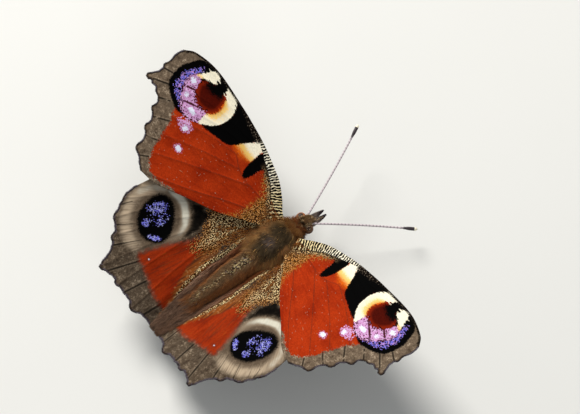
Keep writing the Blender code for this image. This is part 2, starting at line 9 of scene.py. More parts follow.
import bpy
import numpy as np
from mathutils import Matrix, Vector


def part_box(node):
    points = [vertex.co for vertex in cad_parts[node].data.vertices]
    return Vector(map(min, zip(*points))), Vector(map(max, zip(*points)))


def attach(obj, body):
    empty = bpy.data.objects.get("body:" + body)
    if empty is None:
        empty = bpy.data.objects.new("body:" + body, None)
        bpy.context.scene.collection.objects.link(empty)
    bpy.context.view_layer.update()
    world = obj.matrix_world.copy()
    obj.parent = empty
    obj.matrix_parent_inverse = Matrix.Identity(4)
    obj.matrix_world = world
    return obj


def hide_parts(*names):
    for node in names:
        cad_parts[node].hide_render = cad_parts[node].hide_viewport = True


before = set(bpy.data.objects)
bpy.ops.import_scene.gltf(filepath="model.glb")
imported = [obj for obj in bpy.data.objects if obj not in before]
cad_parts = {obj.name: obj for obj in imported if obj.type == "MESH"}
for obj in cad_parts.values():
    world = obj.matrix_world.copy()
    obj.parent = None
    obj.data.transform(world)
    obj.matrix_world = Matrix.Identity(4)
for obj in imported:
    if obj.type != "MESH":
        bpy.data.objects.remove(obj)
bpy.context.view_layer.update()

bl_info = {
    "name": "Peacock Butterfly",
    "version": (1, 0, 0),
    "blender": (4, 5, 0),
    "location": "View3D > Sidebar > Butterfly",
    "description": "Scaled wings, haired body and plain stage of a life-size peacock butterfly",
    "category": "Add Mesh",
}

MM = 0.001
SIDES = {"left": -1, "right": 1}

# Wing hinges and the wings' tilt from level, as in the solids
HINGE_OUT = 1.9
HINDWING_BACK = -2.6
HINDWING_DOWN = -1.15
FOREWING_TILT = math.radians(22.0)
HINDWING_TILT = math.radians(20.5)
FOREWING_REACH = 31.0
WING_BOW = 0.35
FOLD_DROP = 0.7
FOLD_FROM = 1.5
FOLD_WIDTH = 1.7
GAP = 0.3
MARGIN_STEP = 0.08
# Added to a place in the plane, it gives the place from the middle that the wing's streaks fan out from
FOREWING_FAN = (1.0, 3.0)
HINDWING_FAN = (-4.0, -1.0)
# Millimetres that the bake map of the wings' hair spans
WING_MAP = 60

# Forewing in its own plane: forward from the hinge, outward from the hinge
FOREWING_COSTA = (
    (-0.3, 0.0), (0.2, 1.2), (1.15, 2.6), (2.38, 5.0), (3.1, 7.6), (4.0, 12.5), (4.5, 19.5), (4.5, 25.4), (3.4, 29.4),
)
FOREWING_APEX = (2.05, 31.0)
FOREWING_ENDS = {
    "r5": (-1.3, 31.05),
    "m1": (-5.15, 30.95),
    "m2": (-5.55, 27.5),
    "m3": (-7.4, 26.25),
    "cua1": (-10.2, 24.4),
    "cua2": (-13.1, 22.75),
    "a2": (-14.6, 19.2),
}
FOREWING_TOOTH = (-4.94, 31.22)
FOREWING_MARGIN = (
    (2.05, 31.00), (1.80, 31.02), (1.27, 31.17), (0.31, 31.18), (-0.71, 30.81), (-1.25, 30.82), (-1.49, 30.93),
    (-1.91, 30.96), (-2.32, 30.55), (-2.80, 30.60), (-3.16, 30.50), (-3.95, 30.86), (-4.25, 30.94), (-4.78, 31.24),
    (-4.94, 31.22), (-5.25, 31.04), (-5.27, 30.47), (-5.00, 30.30), (-4.93, 29.83), (-5.16, 29.75), (-5.17, 29.58),
    (-4.97, 28.90), (-5.09, 28.61), (-5.46, 28.23), (-5.53, 27.48), (-5.68, 27.21), (-6.10, 26.71), (-6.25, 26.61),
    (-6.57, 26.55), (-7.26, 26.60), (-7.38, 26.56), (-7.57, 26.31), (-7.76, 25.84), (-7.94, 25.57), (-8.65, 24.91),
    (-9.21, 24.76), (-9.58, 24.90), (-10.03, 24.70), (-10.28, 24.42), (-10.38, 24.06), (-10.66, 23.64),
    (-11.37, 23.13), (-11.95, 23.02), (-12.35, 23.05), (-12.71, 22.97), (-13.09, 22.78), (-13.22, 22.58),
    (-13.38, 22.04), (-13.42, 21.71), (-13.57, 21.30), (-13.77, 20.87), (-14.06, 20.58), (-14.27, 19.97),
    (-14.56, 19.40), (-14.60, 19.20),
)
FOREWING_INNER = ((-14.6, 19.2), (-13.8, 16.1), (-11.3, 12.0), (-8.4, 7.1), (-5.6, 3.6), (-3.2, 0.6))
FOREWING_VEINS = {
    "sc": ((0.0, 0.6), (1.7, 6.0), (3.1, 11.5), (4.4, 17.6)),
    "r": ((-0.4, 0.6), (1.0, 5.0), (2.1, 10.0), (2.55, 13.2), (3.4, 20.0), (3.75, 25.0), (3.0, 29.9)),
    "r5": ((3.1, 17.5), (2.1, 24.5), (-1.3, 31.05)),
    "m1": ((2.55, 13.2), (1.0, 20.5), (-1.7, 26.0), (-5.15, 30.95)),
    "m2": ((1.2, 13.6), (-0.9, 19.3), (-5.55, 27.5)),
    "m3": ((-0.7, 13.0), (-3.0, 18.6), (-7.4, 26.25)),
    "cu": ((-0.9, 0.6), (-1.5, 5.2), (-1.9, 9.6), (-0.7, 13.0)),
    "cua1": ((-1.7, 10.8), (-5.6, 17.6), (-10.2, 24.4)),
    "cua2": ((-1.7, 7.4), (-6.3, 13.8), (-13.1, 22.75)),
    "a2": ((-1.6, 0.7), (-5.4, 6.6), (-10.3, 12.9), (-14.6, 19.2)),
}
FOREWING_FOLDS = (
    ((-2.3, 30.6), (-1.6, 29.1)),
    ((-4.6, 30.0), (-3.1, 27.9)),
    ((-5.7, 27.2), (-4.5, 25.7)),
    ((-8.4, 25.5), (-6.4, 23.1)),
    ((-11.1, 23.9), (-9.5, 21.4)),
    ((-13.9, 21.9), (-12.3, 20.4)),
)

# Forewing markings, as outlines in the same plane
OCELLUS = (
    (4.3, 25.6), (4.0, 27.2), (3.2, 28.2), (1.8, 28.8), (0.3, 29.2), (-1.1, 29.0), (-2.5, 28.6), (-3.3, 27.8),
    (-3.8, 26.7), (-4.3, 25.3), (-4.5, 24.1), (-4.1, 22.6), (-3.6, 21.3), (-2.8, 20.3), (-2.3, 19.3), (-1.5, 18.6),
    (-0.4, 18.1), (1.0, 17.8), (2.5, 18.0), (3.8, 18.7), (4.7, 19.8), (5.2, 21.5), (5.0, 24.0),
)
CRESCENT = (
    (4.5, 20.8), (4.3, 19.6), (3.7, 18.75), (2.4, 18.05), (1.0, 17.85), (-0.4, 18.1), (-1.5, 18.7), (-2.3, 19.5),
    (-2.8, 20.3), (-1.9, 20.6), (-1.0, 20.7), (-0.2, 20.25), (0.9, 19.95), (2.1, 20.4), (3.0, 20.8), (3.4, 21.5),
    (4.1, 21.9),
)
MAROON = (
    (3.2, 21.4), (3.3, 22.6), (2.7, 24.0), (1.8, 24.9), (1.0, 25.2), (0.3, 24.8), (-0.6, 24.0), (-1.1, 22.8),
    (-0.8, 21.4), (-0.2, 20.5), (0.9, 20.2), (2.1, 20.5),
)
SMUDGE = (
    (2.3, 21.1), (3.1, 21.3), (3.8, 21.3), (4.6, 21.8), (4.7, 22.7), (3.9, 23.5), (2.7, 24.2), (1.8, 24.8),
    (1.4, 24.4), (1.4, 23.3), (1.8, 22.0),
)
SUBAPICAL = (
    (3.3, 23.6), (3.9, 23.7), (4.3, 24.3), (4.3, 25.0), (4.0, 25.5), (3.1, 25.9), (2.3, 26.25), (1.4, 26.6),
    (1.6, 25.95), (2.1, 25.3), (2.5, 24.4), (2.8, 23.9),
)
EYE_SEAMS = (
    ((-0.9, 21.6), (-1.5, 22.5), (-2.3, 23.9), (-3.2, 25.1)),
    ((0.4, 23.5), (0.0, 24.3), (-0.6, 25.5), (-1.6, 27.2)),
)
LILAC = (
    (1.3, 26.9), (2.0, 26.1), (1.2, 25.2), (0.2, 24.8), (-0.7, 24.0), (-1.1, 22.8), (-0.8, 21.4), (-0.6, 20.6),
    (-1.6, 19.9), (-2.8, 20.3), (-3.6, 21.4), (-4.0, 22.6), (-3.9, 23.8), (-3.3, 24.8), (-2.4, 25.6), (-1.5, 26.5),
    (0.0, 27.1),
)
BLUE = (
    (3.3, 26.6), (2.4, 27.6), (0.8, 28.25), (-0.4, 28.35), (-1.9, 28.1), (-2.9, 27.3), (-3.4, 26.1), (-3.8, 24.9),
    (-4.2, 23.7), (-4.0, 22.4), (-2.8, 22.5), (-2.0, 25.0), (0.0, 26.4), (2.2, 26.3),
)
TRIANGLE = (
    (4.7, 20.0), (3.7, 18.9), (2.4, 18.1), (1.0, 17.95), (-0.4, 18.2), (-1.6, 18.9), (-2.6, 19.9), (-2.35, 18.6),
    (-1.9, 17.3), (-1.4, 15.8), (-0.9, 14.7), (0.5, 13.9), (1.9, 13.2), (2.9, 12.65), (4.2, 12.5), (4.8, 14.2),
    (5.2, 16.5), (5.3, 18.5),
)
INNER_PALE = (
    (-0.2, 14.3), (0.6, 14.1), (1.9, 13.5), (2.9, 12.9), (4.3, 12.6), (3.9, 11.3), (2.9, 10.7), (1.6, 10.4),
    (0.6, 10.5), (0.0, 11.6), (-0.3, 12.9),
)
BEAN = (
    (2.9, 10.6), (1.5, 10.6), (0.0, 10.4), (-1.2, 10.0), (-1.95, 9.5), (-1.8, 8.95), (-0.8, 8.65), (0.5, 8.6),
    (1.6, 8.3), (2.4, 8.4), (2.8, 9.6),
)
FOREWING_BROWN = (
    (-12.2, 13.6), (-12.9, 15.4), (-13.4, 17.0), (-13.3, 18.6), (-12.4, 20.0), (-10.8, 21.1), (-9.2, 21.8),
    (-7.8, 22.4), (-6.4, 22.9), (-5.4, 23.8), (-4.3, 24.3), (-2.0, 26.0), (2.0, 26.5), (6.0, 24.0), (7.0, 28.0),
    (6.0, 33.0), (-6.0, 34.0), (-16.0, 27.0), (-18.0, 18.0), (-16.0, 13.0),
)
FOREWING_GOLD = (
    (1.1, 7.2), (0.3, 6.0), (-0.8, 5.1), (-2.6, 4.7), (-4.6, 4.7), (-6.6, 5.0), (-8.6, 6.0), (-9.5, 4.5),
    (-6.0, 0.0), (-3.0, -2.0), (2.0, -2.0), (2.4, 4.0),
)
# Each white dot: forward, outward, half length outward, half width
WHITE_DOTS = (
    (0.5, 26.15, 0.58, 0.46),
    (-1.75, 25.0, 0.44, 0.36),
    (-2.6, 22.35, 0.78, 0.44),
    (-5.0, 20.8, 0.48, 0.46),
    (-7.75, 18.85, 0.6, 0.42),
)
LILAC_HALO = (-4.75, 21.3, 1.6, 1.05)
LADDER_STEP = 0.47
LADDER_END = 13.0

# Hindwing in its own plane
HINDWING_COSTA = ((0.9, 0.2), (2.2, 3.4), (0.9, 8.2), (-4.2, 14.2), (-9.0, 17.2), (-13.6, 18.15))
HINDWING_ENDS = {
    "rs": (-16.6, 17.75),
    "m1": (-19.6, 16.1),
    "m2": (-21.65, 13.9),
    "m3": (-25.85, 11.1),
    "cua1": (-25.3, 7.1),
    "cua2": (-25.5, 2.8),
    "a2": (-24.5, -1.75),
}
HINDWING_MARGIN = (
    (-13.60, 18.15), (-14.10, 18.24), (-15.35, 18.11), (-15.66, 18.16), (-16.47, 17.81), (-16.96, 17.46),
    (-17.56, 17.31), (-18.23, 16.78), (-19.12, 16.53), (-19.63, 16.09), (-20.00, 15.12), (-20.21, 14.91),
    (-20.49, 14.35), (-20.67, 14.19), (-21.37, 14.01), (-21.64, 13.86), (-21.81, 13.50), (-21.85, 13.24),
    (-22.01, 12.96), (-22.17, 12.77), (-22.44, 12.62), (-22.72, 12.31), (-23.34, 11.97), (-23.87, 11.86),
    (-24.05, 11.69), (-24.39, 11.69), (-24.55, 11.61), (-24.88, 11.57), (-25.33, 11.27), (-25.63, 11.21),
    (-25.85, 11.10), (-25.82, 10.48), (-25.57, 10.24), (-25.37, 9.92), (-25.20, 9.14), (-25.00, 8.85), (-24.95, 8.23),
    (-25.02, 7.93), (-25.29, 7.69), (-25.34, 7.15), (-25.31, 7.03), (-25.09, 6.78), (-25.05, 6.66), (-25.04, 5.93),
    (-25.15, 5.40), (-24.98, 5.03), (-25.04, 4.61), (-24.99, 4.01), (-25.09, 3.77), (-25.61, 3.19), (-25.67, 2.50),
    (-25.56, 2.27), (-25.25, 1.84), (-24.89, 1.49), (-24.64, 1.12), (-24.66, 0.74), (-24.44, 0.18), (-24.50, -0.20),
    (-24.48, -0.57), (-24.25, -1.07), (-24.34, -1.59), (-24.50, -1.75),
)
HINDWING_VEINS = {
    "sc": ((0.2, 1.4), (0.4, 5.5), (-4.0, 12.2), (-13.2, 17.6)),
    "rs": ((-0.9, 1.8), (-3.4, 7.0), (-8.0, 12.6), (-16.6, 17.75)),
    "m1": ((-4.4, 8.4), (-11.0, 12.9), (-19.6, 16.1)),
    "m2": ((-4.4, 8.4), (-6.0, 7.6), (-13.0, 11.0), (-21.65, 13.9)),
    "m3": ((-6.0, 7.6), (-7.0, 6.2), (-15.0, 8.9), (-25.85, 11.1)),
    "cua1": ((-1.6, 1.8), (-5.0, 4.4), (-7.0, 6.2), (-15.0, 6.9), (-25.3, 7.1)),
    "cua2": ((-4.0, 3.5), (-13.5, 4.1), (-25.5, 2.8)),
    "a2": ((-4.6, 1.7), (-12.0, 1.5), (-20.0, 0.2), (-24.5, -1.75)),
}
HINDWING_FOLDS = (
    ((-17.9, 17.3), (-15.7, 16.5)),
    ((-20.5, 15.3), (-17.4, 13.4)),
    ((-22.6, 12.8), (-18.0, 10.7)),
    ((-25.4, 9.9), (-19.3, 7.9)),
    ((-25.3, 5.6), (-21.1, 5.0)),
    ((-25.3, 1.0), (-21.1, 0.8)),
)

# Hindwing markings
EYESPOT = (
    (-11.3, 14.8), (-10.7, 13.6), (-10.8, 12.1), (-11.8, 10.6), (-13.1, 9.3), (-14.6, 8.6), (-16.0, 8.8),
    (-17.1, 9.8), (-17.6, 11.2), (-17.2, 12.8), (-16.4, 14.0), (-15.3, 14.7), (-13.9, 15.1), (-12.5, 15.2),
)
# Each blue cluster: forward, outward, half length, half width, angle of its length from outward, strength
BLUE_CLUSTERS = (
    (-13.0, 13.5, 1.9, 1.0, 118.0, 1.0),
    (-13.6, 12.4, 2.2, 1.9, 100.0, 0.3),
    (-15.9, 12.5, 0.85, 0.7, 0.0, 0.8),
    (-14.0, 11.2, 0.9, 0.6, 120.0, 0.85),
    (-16.2, 9.85, 1.2, 0.42, -42.0, 1.2),
)
WHITE_ARC = (
    (-10.3, 15.6), (-9.6, 14.2), (-9.25, 12.8), (-9.3, 11.4), (-10.0, 10.0), (-11.1, 8.7), (-12.5, 8.1), (-13.9, 8.2),
    (-15.0, 8.7),
)
BUFF_ARC = (
    (-10.4, 15.3), (-11.5, 16.2), (-12.9, 16.9), (-14.4, 17.1), (-15.9, 16.8), (-17.2, 15.9), (-18.4, 14.6),
    (-19.1, 13.2), (-19.4, 11.7), (-19.1, 10.2), (-18.2, 9.0),
)
BLOTCH = (
    (-8.1, 11.0), (-7.2, 10.1), (-6.9, 8.6), (-7.0, 7.5), (-8.1, 7.1), (-9.7, 6.7), (-11.7, 6.9), (-12.1, 7.3),
    (-10.4, 8.1), (-9.1, 9.5),
)
RED_PATCH = (
    (-19.6, 9.1), (-17.4, 8.5), (-15.1, 7.7), (-12.5, 6.5), (-10.5, 5.6), (-9.0, 4.4), (-11.5, 2.8), (-14.5, 1.9),
    (-17.5, 0.9), (-19.9, -0.4), (-21.1, -0.4), (-21.5, 2.0), (-20.9, 4.4), (-20.3, 6.8), (-20.0, 8.4),
)
SPECKLED = (
    (-7.0, 8.6), (-5.0, 7.6), (-2.5, 6.4), (0.5, 5.0), (1.5, 2.0), (0.0, 0.0), (-3.0, 0.8), (-5.0, 1.9),
    (-8.7, 2.7), (-11.6, 3.9), (-12.2, 5.0), (-10.2, 5.8), (-8.6, 6.6),
)
SPECKLE_LINE = ((-3.6, 1.5), (-7.8, 1.45), (-12.0, 1.7), (-14.7, 1.4), (-17.0, 0.9), (-18.8, 0.3))
# Forward places, and how wide the rusty strip beside the fold is there
STRIP_WIDTH = ((-21.0, -19.3, -17.0, -14.5, -11.6, -8.0), (0.5, 0.9, 1.8, 2.5, 3.0, 3.1))
RED_DOT = (-18.8, 7.55, 0.18, 0.13)
INNER_FOLD = (
    (-2.0, 1.2), (-6.7, 0.9), (-10.3, 1.0), (-14.3, 0.7), (-17.0, 0.3), (-20.2, -0.2), (-24.4, -1.1),
    (-26.0, -3.0), (-10.0, -4.0), (0.0, -3.0),
)

# Body along its length: thorax, neck and head under the coat, and the abdomen
THORAX_CENTRE = (0.0, -3.5, -0.9)
THORAX_HALF = (2.3, 3.75, 2.1)
THORAX_POWER = 2.4
NECK = (0.0, 0.6, -1.2)
NECK_RADIUS = 0.85
HEAD_CENTRE = (0.0, 2.15, -1.3)
HEAD_HALF = (1.2, 1.32, 1.22)
HEAD_TURN = math.radians(-6.0)
ABDOMEN_FRONT = -6.6
ABDOMEN_TIP = -19.7
ABDOMEN_RADIUS = 1.85
ABDOMEN_HEIGHT = -0.95
ABDOMEN_SEGMENTS = 7
EYE_CENTRE = (1.12, 2.17, -1.2)
EYE_RADIUS = 0.82
PALP_ROOT = (0.42, 2.6, -2.2)
PALP_LENGTH = 3.3
PALP_RISE = math.radians(6.0)
PALP_RADIUS = 0.3
PROBOSCIS_CENTRE = (0.0, 3.15, -3.0)
ANTENNA_ROOT = (0.55, 2.7, -0.9)
ANTENNA_LENGTH = 17.4
ANTENNA_SPREAD = math.radians(30.5)
ANTENNA_RISE = {"left": math.radians(5.5), "right": math.radians(-11.0)}
ANTENNA_BEND = 0.2
CLUB_LENGTH = 2.6
SEGMENT = 0.56
# Where the body's skin begins and ends
BODY_FROM, BODY_TO = -19.6, 3.44

# Each walking leg: hip, knee, ankle, then the heel and toe on the floor; the foreleg is folded under the breast
MIDLEG = ((1.2, -2.6, -2.6), (4.5, -1.5, -2.2), (6.5, -0.5, -6.4), (7.3, 0.0), (9.2, 1.1))
HINDLEG = ((1.2, -5.2, -2.4), (4.1, -7.4, -2.1), (5.6, -10.8, -6.2), (6.2, -12.0), (7.3, -14.4))
FORELEG = ((0.9, -0.2, -2.6), (1.05, 1.0, -3.6), (1.0, 0.0, -4.5), (0.85, 1.3, -4.9))
# Height of the forewing hinge over the floor, and of the floor and the middle of the feet about that hinge
HINGE_HEIGHT = 7.8
FLOOR = -HINGE_HEIGHT
SOLE = FLOOR + 0.13

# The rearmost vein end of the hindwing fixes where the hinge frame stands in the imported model
HINDWING_REAR = HINDWING_BACK + HINDWING_ENDS["m3"][0]
PLACE = np.array([0.0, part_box("hindwing_left")[0][1] / MM - HINDWING_REAR, HINGE_HEIGHT])

# The camera of the photograph: its turns about the butterfly's own axes, its distance and its aim
CAMERA_SWING = math.radians(18.53)
CAMERA_TIP = math.radians(-9.05)
CAMERA_ROLL = math.radians(-54.79)
CAMERA_AIM = (0.419, -3.252)
CAMERA_DISTANCE = 396.99
CAMERA_LENS = 155.97
SENSOR_WIDTH = 36.0

# Seeds of the random draws; the side, -1 or +1, is added where a coat has two sides
SEEDS = {
    "fringe": 11, "wing_hair": 31, "thorax": 5, "ruff": 7, "mantle": 15, "abdomen": 6, "head": 8, "palp": 61,
}
# Half width of a tuft at its root, in millimetres
TUFT = {
    "fringe": 0.045, "wing_hair": 0.03, "thorax": 0.036, "ruff": 0.034, "mantle": 0.028, "abdomen": 0.036,
    "clump": 0.06, "head": 0.034, "palp": 0.026, "leg": 0.024,
}


def screen(red, green, blue):
    """A colour as a screen shows it, 0 to 255, made linear."""
    share = np.array([red, green, blue]) / 255
    return tuple(np.where(share <= 0.04045, share / 12.92, ((share + 0.055) / 1.055) ** 2.4).tolist())


# Colours that no setting changes
RIM_SHEEN = screen(96, 90, 108)
FRINGE_DARK, FRINGE_PALE = screen(44, 36, 38), screen(122, 114, 124)
EYE_OLIVE, EYE_BLUSH = screen(70, 52, 36), screen(200, 116, 60)
GILT = screen(206, 158, 92)
CLUMP_BLACK = screen(24, 21, 20)
PALP_TIP = screen(40, 28, 42)
TONGUE, TONGUE_DARK = screen(120, 74, 40), screen(60, 34, 20)
SPINE = screen(40, 28, 20)


def colour_property(name, description, red, green, blue):
    return bpy.props.FloatVectorProperty(
        name=name, description=description, subtype="COLOR", min=0.0, max=1.0, default=screen(red, green, blue)
    )


def size_property(name, description, millimetres):
    return bpy.props.FloatProperty(
        name=name, description=description, subtype="DISTANCE", min=0.0, precision=5, default=millimetres * MM
    )


def count_property(name, description, number):
    return bpy.props.IntProperty(name=name, description=description, min=0, default=number)


class WingSettings(bpy.types.PropertyGroup):
    """Sizes and colours of the four wings."""

    half_thickness: size_property("Half thickness", "Half of the membrane's thickness with its scales", 0.07)
    ridge: size_property("Vein ridge", "Height of a main vein over the membrane", 0.07)
    pleat: size_property("Pleat", "How far the membrane sags between its veins", 0.065)
    fringe: size_property("Fringe", "Length of the scales along the outer margin", 0.25)
    red: colour_property("Red", "The rust-red field", 168, 50, 13)
    red_deep: colour_property("Deep red", "The red field where its scales lie thin", 138, 34, 7)
    brown: colour_property("Brown", "The outer margins", 110, 94, 77)
    brown_dark: colour_property("Dark brown", "Veins and blotches of the margins", 50, 38, 28)
    black: colour_property("Black", "The black marks", 2, 2, 2)
    cream: colour_property("Cream", "The pale marks at the costa", 248, 240, 214)
    yellow: colour_property("Yellow", "The middle of the pale marks", 238, 196, 108)
    orange: colour_property("Orange", "The inner edge of the pale marks", 206, 92, 16)
    maroon: colour_property("Maroon", "The heart of the forewing's eye", 70, 11, 3)
    lilac: colour_property("Lilac", "The glow beside the forewing's eye", 204, 148, 198)
    blue: colour_property("Blue", "The blue scales of all four eyes", 100, 100, 200)
    white: colour_property("White", "The white dots", 226, 230, 246)
    gold: colour_property("Gold", "The speckles at the wing roots", 172, 108, 36)
    straw: colour_property("Straw", "The palest speckles at the wing roots", 232, 212, 160)
    buff: colour_property("Buff", "The band outside the hindwing's eyespot", 182, 163, 138)
    chalk: colour_property("Chalk", "The crescent inside the hindwing's eyespot", 208, 205, 188)
    mauve: colour_property("Mauve", "The haired fold beside the abdomen", 188, 150, 122)
    rust: colour_property("Rust", "The haired roots of the hindwing", 132, 72, 28)
    under: colour_property("Underside", "The dark underside", 46, 38, 34)


class BodySettings(bpy.types.PropertyGroup):
    """Colours of the body and the lengths of its hair."""

    thorax_hair: size_property("Thorax hair", "Length of the hair on the thorax", 1.5)
    mantle: size_property("Mantle", "Length of the hair that spills from the thorax over the wing roots", 2.1)
    abdomen_hair: size_property("Abdomen hair", "Length of the hair on the abdomen", 0.75)
    head_hair: size_property("Head hair", "Length of the hair on the head", 0.55)
    thorax_tufts: count_property("Thorax tufts", "How many tufts stand on the thorax", 11500)
    abdomen_tufts: count_property("Abdomen tufts", "How many tufts stand on the abdomen", 11000)
    head_tufts: count_property("Head tufts", "How many tufts stand on the head", 5200)
    golden: colour_property("Golden brown", "Hair at the sides of the thorax", 166, 122, 72)
    olive: colour_property("Olive", "Hair on the middle of the thorax", 92, 75, 50)
    # Glint colour: painted as a sheen spot on the thorax's back, and used as real grey scales in the abdomen's clumps
    glint: colour_property("Glint", "The mauve-grey shine on the back", 140, 124, 122)
    collar: colour_property("Collar", "The rusty collar behind the head", 118, 60, 24)
    umber: colour_property("Umber", "The abdomen's sides", 164, 106, 60)
    dusk: colour_property("Dusk", "The abdomen's back", 130, 99, 66)
    speck: colour_property("Speck", "Pale hair scattered over the abdomen", 214, 192, 140)
    face: colour_property("Face", "Hair on the head", 126, 94, 60)
    limb: colour_property("Limb", "Legs and feet", 96, 72, 50)
    palp: colour_property("Palp", "The two bristly palps", 136, 120, 110)
    shaft: colour_property("Feeler", "The feelers' shafts", 104, 92, 98)
    ring: colour_property("Feeler ring", "The pale rings of the feelers", 208, 194, 198)
    rim: colour_property("Eye rim", "Pale hair along the inner edge of the eyes", 228, 196, 150)
    club: colour_property("Club", "The feelers' clubs", 46, 34, 40)
    eye: colour_property("Eye", "The compound eyes", 136, 84, 48)


class StageSettings(bpy.types.PropertyGroup):
    """Floor, light and camera."""

    floor: colour_property("Floor", "The plain pale floor", 226, 226, 222)
    key_power: bpy.props.FloatProperty(name="Key light", description="Strength of the main light", default=0.8)
    fill_power: bpy.props.FloatProperty(name="Fill light", description="Strength of the fill light", default=0.16)
    sky: bpy.props.FloatProperty(name="Sky", description="Strength of the even light from all round", default=0.24)


def operation(name, swapped=False):
    """An arithmetic method for Socket: one Math node on itself and another value, or on them the other way round."""

    def method(self, other):
        return self.finish.math(name, *((other, self) if swapped else (self, other)))

    return method


class Socket:
    """A node's output that takes part in Python arithmetic: each operation adds one Math node."""

    def __init__(self, finish, output):
        self.finish = finish
        self.output = output

    __add__, __radd__ = operation("ADD"), operation("ADD", True)
    __sub__, __rsub__ = operation("SUBTRACT"), operation("SUBTRACT", True)
    __mul__, __rmul__ = operation("MULTIPLY"), operation("MULTIPLY", True)
    __truediv__, __rtruediv__ = operation("DIVIDE"), operation("DIVIDE", True)


def assign(thing, settings):
    """Gives a thing its settings."""
    for key, value in settings.items():
        setattr(thing, key, value)
    return thing


class Finish:
    """One material, with its nodes made by short calls, and the colour that has been laid on it so far."""

    def __init__(self, name, roughness, specular=0.5, **fixed):
        self.material = bpy.data.materials.new(name)
        self.material.use_nodes = True
        self.tree = self.material.node_tree
        self.shader = self.tree.nodes["Principled BSDF"]
        self.laid = None
        for socket, value in {"Roughness": roughness, "Specular_IOR_Level": specular, **fixed}.items():
            self.shader.inputs[socket.replace("_", " ")].default_value = value

    def feed(self, socket, value):
        """Links a socket to an output, or sets it to a number, a vector or a colour."""
        if isinstance(value, Socket):
            self.tree.links.new(value.output, socket)
        elif socket.type == "RGBA":
            socket.default_value = (*value[:3], 1.0)
        else:
            socket.default_value = value

    def node(self, kind, settings=None, inputs=None, output=0):
        """One node: its settings first, then its sockets, by name or by place."""
        made = assign(self.tree.nodes.new(kind), settings or {})
        for key, value in (inputs or {}).items():
            self.feed(made.inputs[key], value)
        return Socket(self, made.outputs[output])

    def math(self, operation, *values):
        """One Math node on its values, in order."""
        return self.node("ShaderNodeMath", {"operation": operation}, dict(enumerate(values)))

    def mix(self, start, end, share):
        """A colour between two, by a share from 0 to 1."""
        return self.node("ShaderNodeMix", {"data_type": "RGBA"}, {0: share, 6: start, 7: end}, 2)

    def lay(self, colour, share):
        """Lays a colour over the others, by a share from 0 to 1."""
        self.laid = self.mix(self.laid, colour, share)

    def tint(self, colour, by):
        """A colour multiplied by another."""
        settings = {"data_type": "RGBA", "blend_type": "MULTIPLY"}
        return self.node("ShaderNodeMix", settings, {0: 1.0, 6: colour, 7: by}, 2)

    def dim(self, colour, value):
        """A colour multiplied by a value."""
        return self.tint(colour, self.node("ShaderNodeCombineColor", {}, dict(enumerate([value] * 3))))

    def step(self, value, low, high):
        """Smooth step from 0 at low to 1 at high."""
        settings = {"interpolation_type": "SMOOTHSTEP"}
        return self.node("ShaderNodeMapRange", settings, dict(enumerate([value, low, high, 0.0, 1.0])))

    def value(self, name):
        """A number stored in the mesh."""
        return self.node("ShaderNodeAttribute", {"attribute_name": name}, {}, 2)

    def coat(self):
        """The colour stored in the mesh."""
        return self.node("ShaderNodeAttribute", {"attribute_name": "coat"})

    def uv(self, name):
        """A flat map stored in the mesh."""
        return self.node("ShaderNodeUVMap", {"uv_map": name})

    def place(self):
        """Object coordinates in millimetres."""
        return self.scaled(self.node("ShaderNodeTexCoord", {}, {}, 3), (1 / MM,) * 3)

    def scaled(self, vector, scales):
        """A vector with its axes scaled, the third by 1 where only two scales are given."""
        return self.node("ShaderNodeVectorMath", {"operation": "MULTIPLY"}, {0: vector, 1: (*scales, 1.0)[:3]})

    def second(self, vector):
        """The Y of a vector."""
        return self.node("ShaderNodeSeparateXYZ", {}, {0: vector}, 1)

    def noise(self, vector, scale, detail=2.0, roughness=0.5):
        """Noise at one scale, or streaked by one scale for each axis of a map."""
        if isinstance(scale, tuple):
            vector, scale = self.scaled(vector, scale), 1.0
        inputs = {"Vector": vector, "Scale": scale, "Detail": detail, "Roughness": roughness}
        return self.node("ShaderNodeTexNoise", {}, inputs)

    def cells(self, vector, scales):
        """Random number of the cells of a flat Voronoi pattern, and distance from a cell's middle."""
        inputs = {"Vector": self.scaled(vector, scales), "Scale": 1.0}
        distance = self.node("ShaderNodeTexVoronoi", {"voronoi_dimensions": "2D"}, inputs)
        random = self.node("ShaderNodeSeparateColor", {}, {0: Socket(self, distance.output.node.outputs[1])})
        return random, distance

    def done(self, colour, height=None, depth=0.0):
        """Feeds the shader its colour and a relief of a depth in millimetres, and gives the material."""
        self.feed(self.shader.inputs["Base Color"], colour)
        if height is not None:
            inputs = {"Strength": 1.0, "Distance": depth * MM, "Height": height}
            self.feed(self.shader.inputs["Normal"], self.node("ShaderNodeBump", {}, inputs))
        return self.material


def smoothstep(x, low=0.0, high=1.0):
    """From 0 at low to 1 at high: of the way between, three times the square less twice the cube."""
    x = np.clip((np.asarray(x, float) - low) / (high - low), 0, 1)
    return x * x * (3 - 2 * x)


def unit(vectors):
    """Vectors brought to length one."""
    return vectors / np.maximum(np.linalg.norm(vectors, axis=-1, keepdims=True), 1e-9)


def blend(start, end, share):
    """Colours between two, by one share for each place."""
    return start + (end - start) * np.asarray(share)[:, None]


def hues_of(settings, names):
    """The settings' colours of the given names, as arrays."""
    return [np.array(getattr(settings, name)) for name in names.split()]


def mirrored(point, side):
    """A point of the right side, on the given side."""
    return np.array([side * point[0], *point[1:]])


